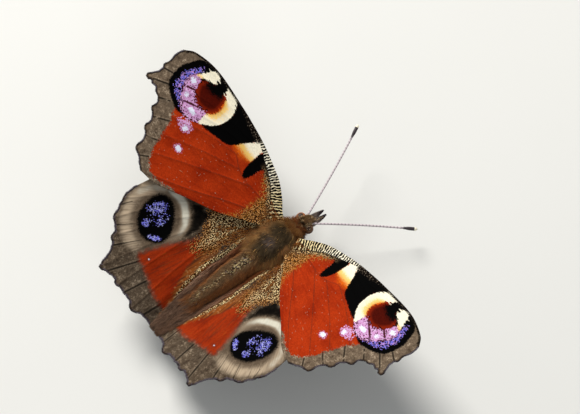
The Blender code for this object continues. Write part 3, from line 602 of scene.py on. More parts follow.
def smooth_curve(points, step, closed=False):
    """Catmull-Rom curve through the points, with a point about every step along it."""
    knots = np.asarray(points, float)
    if closed:
        padded = np.vstack([knots[-1:], knots, knots[:2]])
    else:
        padded = np.vstack([2 * knots[0] - knots[1], knots, 2 * knots[-1] - knots[-2]])
    pieces = []
    for before, start, end, after in zip(padded, padded[1:], padded[2:], padded[3:]):
        count = max(1, round(float(np.linalg.norm(end - start)) / step))
        t = np.linspace(0, 1, count, endpoint=False)[:, None]
        slope_start, slope_end = (end - before) / 2, (after - start) / 2
        pieces.append(
            (2 * t**3 - 3 * t**2 + 1) * start
            + (t**3 - 2 * t**2 + t) * slope_start
            + (3 * t**2 - 2 * t**3) * end
            + (t**3 - t**2) * slope_end
        )
    last = padded[-2:-1]
    return np.vstack([*pieces, last])


def walked(line):
    """Length along a line up to each of its points."""
    return np.concatenate([[0], np.cumsum(np.linalg.norm(np.diff(line, axis=0), axis=1))])


def along(line, shares):
    """Places at shares of the line's length, from 0 to 1."""
    lengths = walked(line)
    return np.stack([np.interp(shares, lengths / lengths[-1], axis) for axis in line.T], axis=1)


def way(line, shares, step):
    """Direction of the line at shares of its length, from places a step before and after."""
    return unit(along(line, np.clip(shares + step, 0, 1)) - along(line, np.clip(shares - step, 0, 1)))


def distance_to(points, line):
    """Distance of each point to a line of many short pieces, and the length along it to the nearest place."""
    best = np.full(len(points), np.inf)
    place = np.zeros(len(points))
    passed = 0.0
    for start, end in zip(line, line[1:]):
        piece = end - start
        length = math.hypot(*piece)
        if length < 1e-6:
            continue
        t = np.clip((points - start) @ piece / length**2, 0, 1)
        away = np.linalg.norm(points - start - t[:, None] * piece, axis=1)
        nearer = away < best
        best = np.where(nearer, away, best)
        place = np.where(nearer, passed + t * length, place)
        passed += length
    return best, place


def depth_in(points, outline):
    """Distance inside the smooth closed outline, below zero outside it. Inside is where a ray crosses it oddly."""
    loop = smooth_curve(outline, 0.5, closed=True)
    x, y = points[:, 0], points[:, 1]
    crossings = np.zeros(len(points), int)
    for start, end in zip(loop, loop[1:]):
        spans = (start[1] > y) != (end[1] > y)
        rise = end[1] - start[1]
        where = start[0] + (y - start[1]) * (end[0] - start[0]) / (rise if rise else 1.0)
        crossings += spans & (x < where)
    away, _ = distance_to(points, loop)
    return np.where(crossings % 2 == 1, away, -away)


def spot_depth(points, forward, outward, half_length, half_width, degrees=0.0):
    """Distance inside an ellipse, nearly: its shortfall from one radius, times its mean half size."""
    c, s = math.cos(math.radians(degrees)), math.sin(math.radians(degrees))
    x, y = points[:, 0] - forward, points[:, 1] - outward
    radius = np.hypot((x * c - y * s) / half_width, (x * s + y * c) / half_length)
    return (1 - radius) * (half_length + half_width) / 2


def margin(outline):
    """The notched outer margin as a line of short pieces."""
    places = np.array(outline)
    return along(places, np.linspace(0, 1, round(walked(places)[-1] / MARGIN_STEP)))


def abdomen_profile(y):
    """Half width of the abdomen at y: full at a third of its length, slim behind the thorax, a blunt tip."""
    t = np.clip((ABDOMEN_FRONT - np.asarray(y, float)) / (ABDOMEN_FRONT - ABDOMEN_TIP), 0, 1)
    swell = 0.78 + 0.22 * np.sin(np.pi * np.clip(t / 0.7, 0, 1))
    taper = np.sqrt(np.clip(1 - ((t - 0.35) / 0.65).clip(0, 1) ** 2.2, 0, 1))
    return ABDOMEN_RADIUS * swell * (0.12 + 0.88 * taper)


def patch(rear, front, end):
    """Coons patch between the rear and front edges, point by point, and the end edge that joins their last points.

    A place is the blend of the two long edges, plus the blend of the end edge and a straight base, less the blend
    of the four corners.
    """
    s = np.linspace(0, 1, len(rear))[:, None, None]
    t = np.linspace(0, 1, len(end))[None, :, None]
    base = rear[0] + (front[0] - rear[0]) * t
    long_way = (1 - t) * rear[:, None] + t * front[:, None]
    cross_way = (1 - s) * base + s * end[None]
    corners = (1 - s) * base + s * (rear[-1] + (front[-1] - rear[-1]) * t)
    return long_way + cross_way - corners


def forewing_net(rows=300, columns=96):
    """Places in the forewing's plane. Its rows run outward at even steps on both the costa and the rear edge."""
    outward = np.linspace(0, 1, rows)
    costa = smooth_curve((*FOREWING_COSTA, FOREWING_APEX), 0.2)
    inner = smooth_curve(FOREWING_INNER, 0.2)[::-1]
    outer = margin(FOREWING_MARGIN)
    tooth = int(np.argmin(np.linalg.norm(outer - FOREWING_TOOTH, axis=1)))
    top, side = outer[: tooth + 1][::-1], outer[tooth:][::-1]
    rear = np.vstack([inner, side[1:]])
    climb = np.maximum.accumulate(rear[:, 1])
    front_reach = costa[-1, 1] * outward
    rear_reach = climb[0] + (climb[-1] - climb[0]) * outward
    front = np.stack([np.interp(front_reach, np.maximum.accumulate(costa[:, 1]), costa[:, 0]), front_reach], axis=1)
    back = np.stack([np.interp(rear_reach, climb, rear[:, 0]), rear_reach], axis=1)
    return patch(back, front, along(top, np.linspace(0, 1, columns))), outer


def hindwing_net(rows=300, columns=120):
    """Places in the hindwing's plane, between its inner margin beside the abdomen and its costa and outer margin."""
    costa = smooth_curve(HINDWING_COSTA, 0.2)
    outer = margin(HINDWING_MARGIN)
    tail = int(np.argmin(outer[:, 0]))
    front = np.vstack([costa, outer[1 : tail + 1]])
    end = outer[tail:][::-1]
    u = np.linspace(-3.2, HINDWING_ENDS["a2"][0], 120)
    beside = abdomen_profile(u + HINDWING_BACK) + 0.1
    beside = np.where(u + HINDWING_BACK < ABDOMEN_TIP - GAP, 0.0, beside)
    out = np.maximum(beside, 0.5 * GAP + 0.02)
    rear = np.stack([u, (out - HINGE_OUT) / math.cos(HINDWING_TILT)], axis=1)
    rear[-1] = HINDWING_ENDS["a2"]
    shares = np.linspace(0, 1, rows)
    return patch(along(rear, shares), along(front, shares), along(end, np.linspace(0, 1, columns))), outer


class Wing:
    """A wing's plane in space: where a place in it lies, and which way its axes point."""

    def __init__(self, kind, side):
        hind = kind == "hindwing"
        self.kind = kind
        self.fold = FOLD_DROP if hind else 0.0
        self.hinge = np.array([side * HINGE_OUT, *((HINDWING_BACK, HINDWING_DOWN) if hind else (0.0, 0.0))])
        tilt = HINDWING_TILT if hind else FOREWING_TILT
        self.outward = np.array([side * math.cos(tilt), 0.0, math.sin(tilt)])
        self.upward = np.array([-side * math.sin(tilt), 0.0, math.cos(tilt)])

    def places(self, flat, height):
        """Forward and outward along the plane, bowed by a parabola over the reach, and dropped beside the abdomen."""
        out = flat[..., 1:]
        bow = WING_BOW * (1 - (2 * out / FOREWING_REACH - 1) ** 2)
        drop = self.fold * smoothstep((FOLD_FROM - out) / FOLD_WIDTH)
        return self.hinge + self.direction(flat) + (bow + height) * self.upward - drop * np.array([0.0, 0.0, 1.0])

    def direction(self, flat):
        """Forward and outward along the plane, as a direction."""
        return flat[..., :1] * np.array([0.0, 1.0, 0.0]) + flat[..., 1:] * self.outward


def nearest_of(points, lines, step=0.3):
    """Distance of each point to the nearest of several curves."""
    return np.min([distance_to(points, smooth_curve(line, step))[0] for line in lines], axis=0)


def forewing_marks(places, outer):
    """Signed depths and densities of every mark of the forewing, at places in its plane."""
    outlines = {
        "ocellus": OCELLUS, "crescent": CRESCENT, "subapical": SUBAPICAL, "inner_pale": INNER_PALE, "maroon": MAROON,
        "smudge": SMUDGE, "lilac": LILAC, "blue": BLUE, "triangle": TRIANGLE, "bean": BEAN, "brown": FOREWING_BROWN,
        "gold": FOREWING_GOLD,
    }
    lines = {"seams": EYE_SEAMS, "veins": FOREWING_VEINS.values(), "folds": FOREWING_FOLDS}
    marks = {name: depth_in(places, outline) for name, outline in outlines.items()}
    marks |= {name: nearest_of(places, curves) for name, curves in lines.items()}
    ahead = places[:, 0]
    round_maroon = np.exp(-np.maximum(-marks["maroon"], 0) / 0.8)
    inner_edge = round_maroon * smoothstep(ahead, -1.9, -0.2) * (1 - smoothstep(ahead, 2.0, 3.3))
    upper = 0.1 + 0.3 * smoothstep(2.4 - ahead, 0, 0.8)
    warmth = np.where(marks["subapical"] > -0.4, upper, 0.08 + inner_edge)
    warmth = np.where(marks["inner_pale"] > -1.2, np.clip((1.9 - ahead) / 2.1, 0, 1), warmth)
    from_costa, costa_length = distance_to(places, smooth_curve((*FOREWING_COSTA, FOREWING_APEX), 0.2))
    return marks | {
        "warmth": np.clip(warmth, 0, 1),
        "halo": spot_depth(places, *LILAC_HALO),
        "dots": np.max([spot_depth(places, *dot) for dot in WHITE_DOTS], axis=0),
        "from_costa": from_costa,
        "costa_length": costa_length,
        "rim": distance_to(places, outer)[0],
    }


def hindwing_marks(places, outer):
    """Signed depths and densities of every mark of the hindwing, at places in its plane."""
    (white, white_length), (buff, buff_length), (speckle, speckle_length) = (
        distance_to(places, smooth_curve(line, 0.3)) for line in (WHITE_ARC, BUFF_ARC, SPECKLE_LINE)
    )
    rim = distance_to(places, outer)[0]
    fold = depth_in(places, INNER_FOLD)
    # Painted light: near the start of the buff arc, beside the forewing's rear edge, the stored white lightens toward
    # chalk to offset the shadow that the forewing casts there
    over = 0.56 * smoothstep(1.2 - buff, 0, 1.1) * (1 - smoothstep(buff_length, 3.5, 7.0))
    arc = smoothstep(1.2 - white, 0, 1.2) * smoothstep(white_length, -0.4, 2.0)
    arc = arc * (1 - 0.75 * smoothstep(white_length, 5.5, 11.5))
    outside = smoothstep(1.6 - buff, 0, 1.4) * (0.25 + 0.75 * smoothstep(rim, 0.35, 1.0))
    blue = np.zeros(len(places))
    for *spot, strength in BLUE_CLUSTERS:
        blue = np.maximum(blue, strength * smoothstep(spot_depth(places, *spot), -0.2, 0.7 * spot[3]))
    return {
        "eyespot": depth_in(places, EYESPOT),
        "blue": blue,
        "white": np.maximum(over, arc),
        "buff": outside * (1 - smoothstep(buff_length, 12.5, 15.5)),
        "blotch": depth_in(places, BLOTCH),
        "red": depth_in(places, RED_PATCH),
        "speckled": depth_in(places, SPECKLED),
        "speckle_line": (0.42 - 0.017 * speckle_length) - speckle,
        "fold": fold,
        "strip": fold + np.interp(places[:, 0], *STRIP_WIDTH),
        "dot": spot_depth(places, *RED_DOT),
        "veins": nearest_of(places, HINDWING_VEINS.values()),
        "folds": nearest_of(places, HINDWING_FOLDS),
        "rim": rim,
    }


def add_piece(name, points, faces, finishes, replaced=(), values=None, maps=None, colours=None, which=None):
    """A mesh from arrays of points and faces, with stored numbers, UV maps and colours, that rides on the body."""
    mesh = bpy.data.meshes.new(name)
    placed = (np.asarray(points).reshape(-1, 3) + PLACE) * MM
    mesh.vertices.add(len(placed))
    mesh.vertices.foreach_set("co", placed.astype(np.float32).ravel())
    corners = np.concatenate([np.asarray(block).ravel() for block in faces])
    counts = np.concatenate([np.full(len(block), np.shape(block)[1]) for block in faces])
    mesh.loops.add(len(corners))
    mesh.loops.foreach_set("vertex_index", corners.astype(np.int32))
    mesh.polygons.add(len(counts))
    mesh.polygons.foreach_set("loop_start", np.concatenate([[0], np.cumsum(counts)[:-1]]).astype(np.int32))
    mesh.update(calc_edges=True)
    for finish in finishes:
        mesh.materials.append(finish)
    if which is not None:
        mesh.polygons.foreach_set("material_index", which.astype(np.int32))
    for key, numbers in (values or {}).items():
        mesh.attributes.new(key, "FLOAT", "POINT").data.foreach_set("value", np.asarray(numbers, np.float32))
    for key, hues in (colours or {}).items():
        full = np.concatenate([hues, np.ones((len(hues), 1))], axis=1).astype(np.float32)
        mesh.attributes.new(key, "FLOAT_COLOR", "POINT").data.foreach_set("color", full.ravel())
    for key, flat in (maps or {}).items():
        layer = mesh.uv_layers.new(name=key, do_init=False)
        layer.data.foreach_set("uv", np.asarray(flat)[corners].astype(np.float32).ravel())
    mesh.shade_smooth()
    obj = bpy.data.objects.new(name, mesh)
    bpy.context.scene.collection.objects.link(obj)
    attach(obj, "root")
    if replaced:
        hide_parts(*replaced)


def grid_faces(rows, columns, closed=False):
    """Quads of a grid of points stored row by row, joined round each row where it is closed."""
    index = np.arange(rows * columns).reshape(rows, columns)
    after = np.roll(index, -1, axis=1) if closed else index[:, 1:]
    here = index if closed else index[:, :-1]
    return np.stack([here[:-1], after[:-1], after[1:], here[1:]], axis=-1).reshape(-1, 4)


def ring_faces(rows, sides):
    """Faces of closed rings stored one after another, and a fan at each end to a pole. The two poles come last."""
    ring = np.arange(sides)
    last = (rows - 1) * sides + ring
    return [
        grid_faces(rows, sides, closed=True)[:, ::-1],
        np.stack([np.full(sides, rows * sides), ring, np.roll(ring, -1)], axis=1),
        np.stack([np.full(sides, rows * sides + 1), np.roll(last, -1), last], axis=1),
    ]


def tube(path, radii, sides):
    """Points and faces of a round bar along a path: rings carried along without twist, closed by poles."""
    ahead = unit(np.gradient(path, axis=0))
    sideways = [np.array([1.0, 0.0, 0.0])]
    for direction in ahead:
        sideways.append(unit(sideways[-1] - (sideways[-1] @ direction) * direction))
    sideways = np.array(sideways[1:])
    turn = np.linspace(0, 2 * np.pi, sides, endpoint=False)[:, None]
    spokes = sideways[:, None] * np.cos(turn) + np.cross(sideways, ahead)[:, None] * np.sin(turn)
    rings = path[:, None] + spokes * radii[:, None, None]
    return np.vstack([rings.reshape(-1, 3), path[:1], path[-1:]]), ring_faces(len(path), sides)


def tube_map(path, sides):
    """Round the bar, and millimetres along it."""
    lengths = walked(path)
    flat = np.stack(np.meshgrid(np.linspace(0, 1, sides, endpoint=False), lengths), axis=-1).reshape(-1, 2)
    return np.vstack([flat, (0.5, 0.0), (0.5, lengths[-1])])


def tufts(roots, normals, lies, lengths, widths, rise=0.5, hug=0.0, bend=0.0, rings=3, sunk=0.06):
    """Points, faces and shares along of many closed three-edged tufts.

    Each runs from a root sunk under the skin along its lie. Its height over the skin is the length times the rise,
    as a quarter of a sine, less the hug times the square of the way along, so that long hair follows a round back.
    It bends sideways with that square, and its width falls as the root of what is left of its length.
    """
    count = len(roots)
    lengths, widths, rise, bend = (
        np.broadcast_to(value, count)[:, None, None] for value in (lengths, widths, rise, bend)
    )
    t = np.linspace(0, 1, rings + 1)[None, :, None]
    across = unit(np.cross(lies, normals))[:, None]
    lie, normal = unit(lies)[:, None], normals[:, None]
    height = lengths * rise * np.sin(0.5 * np.pi * t) - hug * (lengths * t) ** 2 - sunk * (1 - t) ** 4
    centre = roots[:, None] + lie * lengths * t + normal * height + across * (bend * lengths * t**2)
    half = widths * (1 - t[:, :-1]) ** 0.5
    body = centre[:, :-1]
    ring = np.stack([body + across * half, body - across * half, body + normal * half * 0.8], axis=2)
    points = np.concatenate([ring.reshape(count, rings * 3, 3), centre[:, -1:]], axis=1)
    share = np.append(np.repeat(t[0, :-1, 0], 3), 1.0)
    last = 3 * (rings - 1)
    steps = [(low + k, low + (k + 1) % 3) for low in range(0, last + 1, 3) for k in range(3)]
    quads = [(a, b, b + 3, a + 3) for a, b in steps if a < last]
    triangles = [(0, 2, 1), *((a, b, last + 3) for a, b in steps if a >= last)]
    shift = (np.arange(count) * (last + 4))[:, None, None]
    faces = [(np.array(block) + shift).reshape(-1, len(block[0])) for block in (quads, triangles)]
    return points.reshape(-1, 3), faces, share


def add_coat(name, roots, normals, lies, lengths, widths, hues, root_map, finish, slot, dark_root=0.55, **shape):
    """One piece of many tufts. Each tuft's bake patch lies at its root's place on the unwrap of the skin."""
    points, faces, share = tufts(roots, normals, lies, lengths, widths, **shape)
    # Painted shade: each tuft is darkened toward its root, where the coat shades itself, and lightened a little at
    # its tip
    shade = dark_root + (1.1 - dark_root) * smoothstep(share, 0, 0.8)
    colour = (hues[:, None] * shade[:, None]).reshape(-1, 3)
    side = np.resize([1.0, -1.0, 0.0], len(share))
    side[-1] = 0.0
    flat = (root_map[:, None] + np.stack([0.0015 * side, 0.003 * share], axis=1)).reshape(-1, 2)
    add_piece(name, points, faces, [finish], maps={"OFBake": flat}, colours={"coat": colour})


def comb_wing(name, wing, flat, lies, lengths, width, hues, finish, height=0.06, inset=0.0, **shape):
    """Hair rooted at places in a wing's plane and combed along directions in it."""
    roots = wing.places(flat - inset, np.broadcast_to(height, (len(flat), 1)))
    normals, root_map = np.broadcast_to(wing.upward, roots.shape), flat / WING_MAP + 0.5
    lies = wing.direction(lies)
    add_coat(name, roots, normals, lies, lengths, width, hues, root_map, finish, wing.kind, **shape)


def bar_roots(path, radius, draw, count, ends, step, upright):
    """Random places round a bar: shares of its length and turns about it, and there the middle, the skin, the
    outward normal, the way along and the unwrap. The bar nowhere runs along the upright."""
    share = draw.uniform(*ends, count)
    turn = draw.uniform(0, 2 * np.pi, count)
    ahead = way(path, share, step)
    sideways = unit(np.cross(ahead, upright))
    normal = sideways * np.cos(turn)[:, None] + np.cross(sideways, ahead) * np.sin(turn)[:, None]
    size = np.interp(share, np.linspace(0, 1, len(radius)), radius)[:, None]
    middle = along(path, share)
    root_map = np.stack([0.1 + 0.8 * turn / (2 * np.pi), share], axis=1)
    return share, turn, middle, middle + normal * size, normal, ahead, root_map


def turned(points, share=1.0):
    """Points of the head and what it carries, turned about the neck to where the butterfly looks."""
    turn = HEAD_TURN * np.asarray(share)
    c, s = np.cos(turn), np.sin(turn)
    x, y = points[..., 0] - NECK[0], points[..., 1] - NECK[1]
    return np.stack([NECK[0] + x * c - y * s, NECK[1] + x * s + y * c, points[..., 2]], axis=-1)


def lump(y, centre, half, power):
    """Profile of a rounded lump along the body: a superellipse."""
    s = np.clip(np.abs((y - centre) / half), 0, 1)
    return (1 - s**power) ** (1 / power)


def body_radii(y):
    """Half width and half height of the body's skin: the lumps of its parts, joined as the sixth root of the sum
    of their sixth powers, with a shallow groove behind each ring of the abdomen."""
    y = np.asarray(y, float)
    ring = np.mod((ABDOMEN_FRONT - y) / (ABDOMEN_FRONT - ABDOMEN_TIP) * ABDOMEN_SEGMENTS, 1.0)
    groove = 1 - 0.05 * np.exp(-((np.minimum(ring, 1 - ring) / 0.1) ** 2))
    abdomen = 0.9 * abdomen_profile(y) * groove * (y < -6.0) * lump(y, -12.9, 6.75, 6.0)
    thorax = lump(y, THORAX_CENTRE[1], THORAX_HALF[1], THORAX_POWER)
    head = lump(y, HEAD_CENTRE[1], HEAD_HALF[1], 2.3)
    neck = NECK_RADIUS * lump(y, 0.55, 1.1, 4.0)
    waist = 1.15 * lump(y, -7.0, 1.0, 4.0)
    radii = []
    for axis in (0, 2):
        parts = (abdomen, thorax * THORAX_HALF[axis], head * HEAD_HALF[axis], neck, waist)
        radii.append(sum(part**6 for part in parts) ** (1 / 6))
    return radii


def body_middle(y):
    """Height of the body's middle line."""
    thorax = smoothstep(y, -8.5, -6.0)
    return ABDOMEN_HEIGHT + (THORAX_CENTRE[2] - ABDOMEN_HEIGHT) * thorax - 0.4 * smoothstep(y, 0.0, 1.6)


def body_place(y, turn):
    """Place on the skin at y along the body and a turn about it, from +X over the back."""
    wide, high = body_radii(y)
    points = np.stack([wide * np.cos(turn), y, body_middle(y) + high * np.sin(turn)], axis=-1)
    return turned(points, smoothstep(y, 0.2, 1.1))


def body_frame(y, turn, step=0.02):
    """Place, outward normal, backward direction and direction round the skin, from small steps along and round it."""
    back = body_place(y - step, turn) - body_place(y + step, turn)
    around = body_place(y, turn + step) - body_place(y, turn - step)
    return body_place(y, turn), unit(np.cross(around, back)), unit(back), unit(around)


def body_map(y, turn):
    """The skin's own unwrap: round the body, and along it."""
    shares = (np.mod(turn / (2 * np.pi) + 0.25, 1.0), (y - BODY_FROM) / (BODY_TO - BODY_FROM))
    return 0.05 + 0.9 * np.stack(shares, axis=-1)


def ripple(y, turn, seed, scale):
    """A smooth random wave over the body, between about -1 and 1: the mean of five sines with seeded phases."""
    draw = np.random.default_rng(seed)
    total = 0.0
    for _ in range(5):
        a, b, phase = draw.uniform(-1, 1) * scale, draw.uniform(-1, 1) * scale, draw.uniform(0, 2 * np.pi)
        total = total + np.sin(a * y * 2.0 + b * 2.5 * np.cos(turn) + b * 2.5 * np.sin(turn) + phase)
    return total / 2.4


def body_hue(y, turn):
    """Colour of the coat: golden sides and an olive middle on the thorax, a rusty collar, a dusky abdomen with
    umber sides, and a brown face."""
    names = "golden olive glint collar umber dusk face"
    golden, olive, glint, collar, umber, dusk, face = hues_of(bpy.context.scene.butterfly_body, names)
    top = np.sin(turn)
    wave = ripple(y, turn, 3, 1.6)
    middle = smoothstep(np.sin(turn + 0.2) + 0.12 * wave, 0.5, 0.9)
    middle = middle * smoothstep(y, -7.2, -5.8) * smoothstep(-0.1 - y, 0, 1.0)
    thorax = blend(golden, olive, middle)
    # Painted highlight: a mauve-grey sheen spot laid into the hair colour on the middle of the thorax's back
    shine = np.exp(-(((y + 3.7) / 0.75) ** 2 + ((turn - 1.45) / 0.3) ** 2))
    thorax = blend(thorax, glint, 0.6 * shine) * (1 - 0.24 * smoothstep(y, -2.8, -1.0))[:, None]
    thorax = blend(thorax, collar, smoothstep(y + 0.3 * wave, -0.7, 0.2))
    abdomen = blend(umber, dusk, smoothstep(top + 0.15 * wave, 0.45, 0.85))
    hue = blend(abdomen, thorax, smoothstep(y, -7.6, -6.6))
    hue = blend(hue, face, smoothstep(y, 0.7, 1.3))
    return hue * (0.72 + 0.28 * smoothstep(top, -0.9, 0.1))[:, None]


class Roots:
    """Random places on the skin between two stations, spread evenly over its area, with the directions there."""

    def __init__(self, draw, count, low, high):
        stations = np.linspace(low, high, 400)
        weight = np.cumsum(sum(body_radii(stations)))
        self.y = np.interp(draw.uniform(0, weight[-1], count), weight, stations)
        self.turn = draw.uniform(0, 2 * np.pi, count)
        self.top, self.side = np.sin(self.turn), np.cos(self.turn)
        self.place, self.normal, self.back, self.around = body_frame(self.y, self.turn)

    def keep(self, chosen):
        """Leaves only the chosen places."""
        for key, array in vars(self).items():
            setattr(self, key, array[chosen])

    def ripple(self, seed, scale):
        """The smooth random wave at each place."""
        return ripple(self.y, self.turn, seed, scale)

    def locks(self, draw, size, shift=0.0):
        """A random number for each small square of the skin, so that neighbouring tufts make a lock."""
        table = draw.uniform(0, 1, (128, 128))
        squares = (self.y + shift + 25) / size, self.turn * 1.9 / size
        return table[tuple(np.floor(square).astype(int) % 128 for square in squares)]

    def hue(self):
        """The coat's colour at each place."""
        return body_hue(self.y, self.turn)

    def comb(self, name, slot, finish, lies, lengths, widths, hues, **shape):
        """One coat of tufts on these places."""
        root_map = body_map(self.y, self.turn)
        add_coat(name, self.place, self.normal, lies, lengths, widths, hues, root_map, finish, slot, **shape)


def wing_finish(name, specular, long_way=(9.0, 5.5)):
    """A wing's finish, its two maps, and the random number and the relief of its overlapping scales."""
    f = Finish(name, 0.8, specular)
    uv = f.uv("wing")
    return (f, uv, f.uv("fan"), *f.cells(uv, long_way))


def wavering(f, uv, name, scale, width):
    """Distance to the nearest of some lines, made a little uneven."""
    return f.value(name) + (f.noise(uv, scale) - 0.5) * width


def wing_relief(f, relief):
    """The scales' ends, and the veins as ridges."""
    return relief * -0.6 + f.step(0.3 - f.value("veins"), 0.0, 0.3) * 1.2


def red_field(f, wings, uv, fan, random):
    """The rust-red ground: deeper in broad clouds, streaked along the wing, each scale a little different."""
    depth = f.noise(uv, 0.22, 3.0) * 0.6 + f.noise(fan, (2.6, 0.16), 3.0) * 0.4
    red = f.mix(wings.red_deep, wings.red, f.step(depth, 0.32, 0.62))
    red = f.mix(red, wings.orange, f.step(f.noise(fan, (9.0, 0.9)), 0.66, 0.82) * 0.35)
    return f.dim(red, 0.84 + random * 0.32)


def brown_field(f, wings, uv, random, line):
    """The grey-brown margin: mottled, with a dark line on every fold and a faint pale edge beside it."""
    mottle = f.noise(uv, 1.1, 4.0, 0.65)
    brown = f.mix(wings.brown_dark, wings.brown, f.step(mottle, 0.2, 0.56))
    brown = f.mix(brown, wings.buff, f.step(mottle + random * 0.16, 0.62, 0.8) * 0.6)
    brown = f.mix(brown, wings.buff, f.step(0.42 - line, 0.0, 0.2) * 0.15)
    brown = f.mix(brown, wings.black, f.step(0.19 - line, 0.0, 0.1) * 0.8)
    return f.dim(brown, 0.78 + random * 0.44)


def speckles(f, uv, ground, dark, pale, low, high, size):
    """Dark and pale flecks that wind through a ground, each the size of a few scales."""
    pick = f.noise(uv, (size, 1.2 * size), 0.0) + (f.cells(uv, (6.4, 6.8))[0] - 0.5) * 0.12
    flecks = f.mix(ground, dark, f.step(low - pick, -0.01, 0.02))
    return f.mix(flecks, pale, f.step(pick, high, high + 0.03))


def finish_forewing(wings):
    """Upper face of the forewing: the red field, then each mark over it in turn."""
    f, uv, fan, random, relief = wing_finish("forewing_scales", 0.03)
    jitter = random - 0.5
    soft = f.noise(uv, 1.6, 3.0) - 0.5
    fingers = f.noise(fan, (5.5, 0.45), 1.0) - 0.5
    frayed = fingers * f.step(2.3 - f.value("from_costa"), 0.0, 1.3) * 2.6
    combed = (f.noise(fan, (7.5, 0.5)) - 0.5) * f.step(f.value("maroon"), -1.3, -0.2)
    grains = f.cells(uv, (7.5, 6.0))[0]

    def inside(name, ragged, wander=0.25):
        """Within an outline whose edge the scales and broad noise make ragged."""
        return f.step(f.value(name) + jitter * ragged + soft * wander, -0.05, 0.05)

    def sown(name, low, high, most):
        """Scattered scales whose number grows with depth."""
        return f.step(f.step(f.value(name), low, high) * most - grains, 0.0, 0.04)

    f.laid = red_field(f, wings, uv, fan, random)
    f.lay(wings.brown_dark, f.step(0.12 - wavering(f, uv, "veins", 2.0, 0.1), 0.0, 0.09) * 0.48)
    # Fine pale straw streaks along the red field
    pale_streak = f.step(f.noise(fan, (14.0, 0.7), 1.0), 0.7, 0.76)
    f.lay(wings.straw, pale_streak * f.step(f.noise(uv, 0.8), 0.5, 0.62) * 0.3)
    stray, from_stray = f.cells(uv, (3.6, 4.4))
    f.lay(wings.buff, f.step(stray, 0.975, 0.985) * f.step(0.3 - from_stray, 0.0, 0.1) * 0.5)

    warmth = f.value("warmth") + jitter * 0.2 + combed * 0.5
    pale_band = f.mix(wings.cream, wings.yellow, f.step(warmth, 0.12, 0.5))
    pale_band = f.dim(f.mix(pale_band, wings.orange, f.step(warmth, 0.5, 0.95)), 0.9 + random * 0.2)
    inner = f.value("inner_pale") + soft * 0.6
    f.lay(wings.orange, f.step(inner + fingers * 0.8, -0.7, 0.1) * 0.4)
    loose = fingers * f.step(1.6 - f.value("warmth"), 0.3, 1.0)
    f.lay(pale_band, f.step(inner + jitter * 0.5 + loose, -0.3, 0.3))

    f.lay(wings.gold, sown("gold", -1.1, 1.2, 0.8))
    ground = f.mix(wings.rust, wings.gold, f.step(f.noise(uv, 1.6), 0.35, 0.6))
    bright = f.mix(wings.gold, wings.straw, 0.2 + 0.5 * f.step(f.value("gold"), 1.5, 4.5))
    flecked = speckles(f, uv, ground, f.mix(wings.black, wings.brown_dark, 0.1), bright, 0.5, 0.56, 4.8)
    f.lay(flecked, f.step(f.value("gold") + jitter * 1.6, -0.7, 0.7))
    brown = brown_field(f, wings, uv, random, wavering(f, uv, "folds", 3.0, 0.08))
    f.lay(brown, inside("brown", 0.5, 0.7))

    lilac = f.mix(wings.lilac, wings.white, f.step(random, 0.75, 0.95) * 0.5)
    f.lay(lilac, sown("halo", -0.35, 1.0, 0.85))
    f.lay(wings.black, inside("ocellus", 0.22))
    f.lay(f.mix(wings.blue, wings.lilac, f.step(random, 0.4, 1.0) * 0.8), sown("blue", -0.15, 0.6, 0.62))
    f.lay(wings.maroon, inside("lilac", 0.3) * 0.8)
    clear = 1.0 - f.step(0.2 - f.value("seams") + jitter * 0.12, 0.0, 0.08) * 0.95
    f.lay(lilac, sown("lilac", -0.25, 0.5, 0.84) * clear)
    heart = f.step(f.value("maroon") + jitter * 0.4 + soft * 0.4 + fingers * 1.3, -0.14, 0.14)
    near_crescent = f.step(f.value("crescent"), -0.7, -0.3)
    f.lay(wings.red_deep, f.step(f.value("maroon") + jitter * 0.3, -0.55, -0.2) * near_crescent)
    f.lay(f.dim(wings.maroon, 0.8 + random * 0.4), heart)
    f.lay(wings.red_deep, heart * f.step(0.75 - f.value("maroon"), 0.0, 0.7) * 0.7)
    f.lay(wings.black, f.step(f.value("smudge") + jitter * 0.6, -0.25, 0.45))

    fray = frayed + jitter * 0.3 + soft * 0.15
    f.lay(pale_band, f.step(f.value("crescent") + fray + combed * 1.3, -0.06, 0.08))
    f.lay(pale_band, f.step(f.value("subapical") + fray, -0.06, 0.08))
    f.lay(wings.black, f.math("MAXIMUM", inside("triangle", 0.2, 0.15), inside("bean", 0.2, 0.2)))
    f.lay(wings.lilac, f.step(f.value("dots") + jitter * 0.5, -0.26, 0.02) * 0.75)
    f.lay(wings.white, f.step(f.value("dots") + jitter * 0.4 + soft * 0.2, -0.04, 0.14))
    ladder(f, wings, uv, jitter)
    f.lay(wings.brown_dark, f.step(0.3 - f.value("rim") + jitter * 0.12, 0.0, 0.12) * 0.75)
    return f.done(f.laid, wing_relief(f, relief), 0.02)


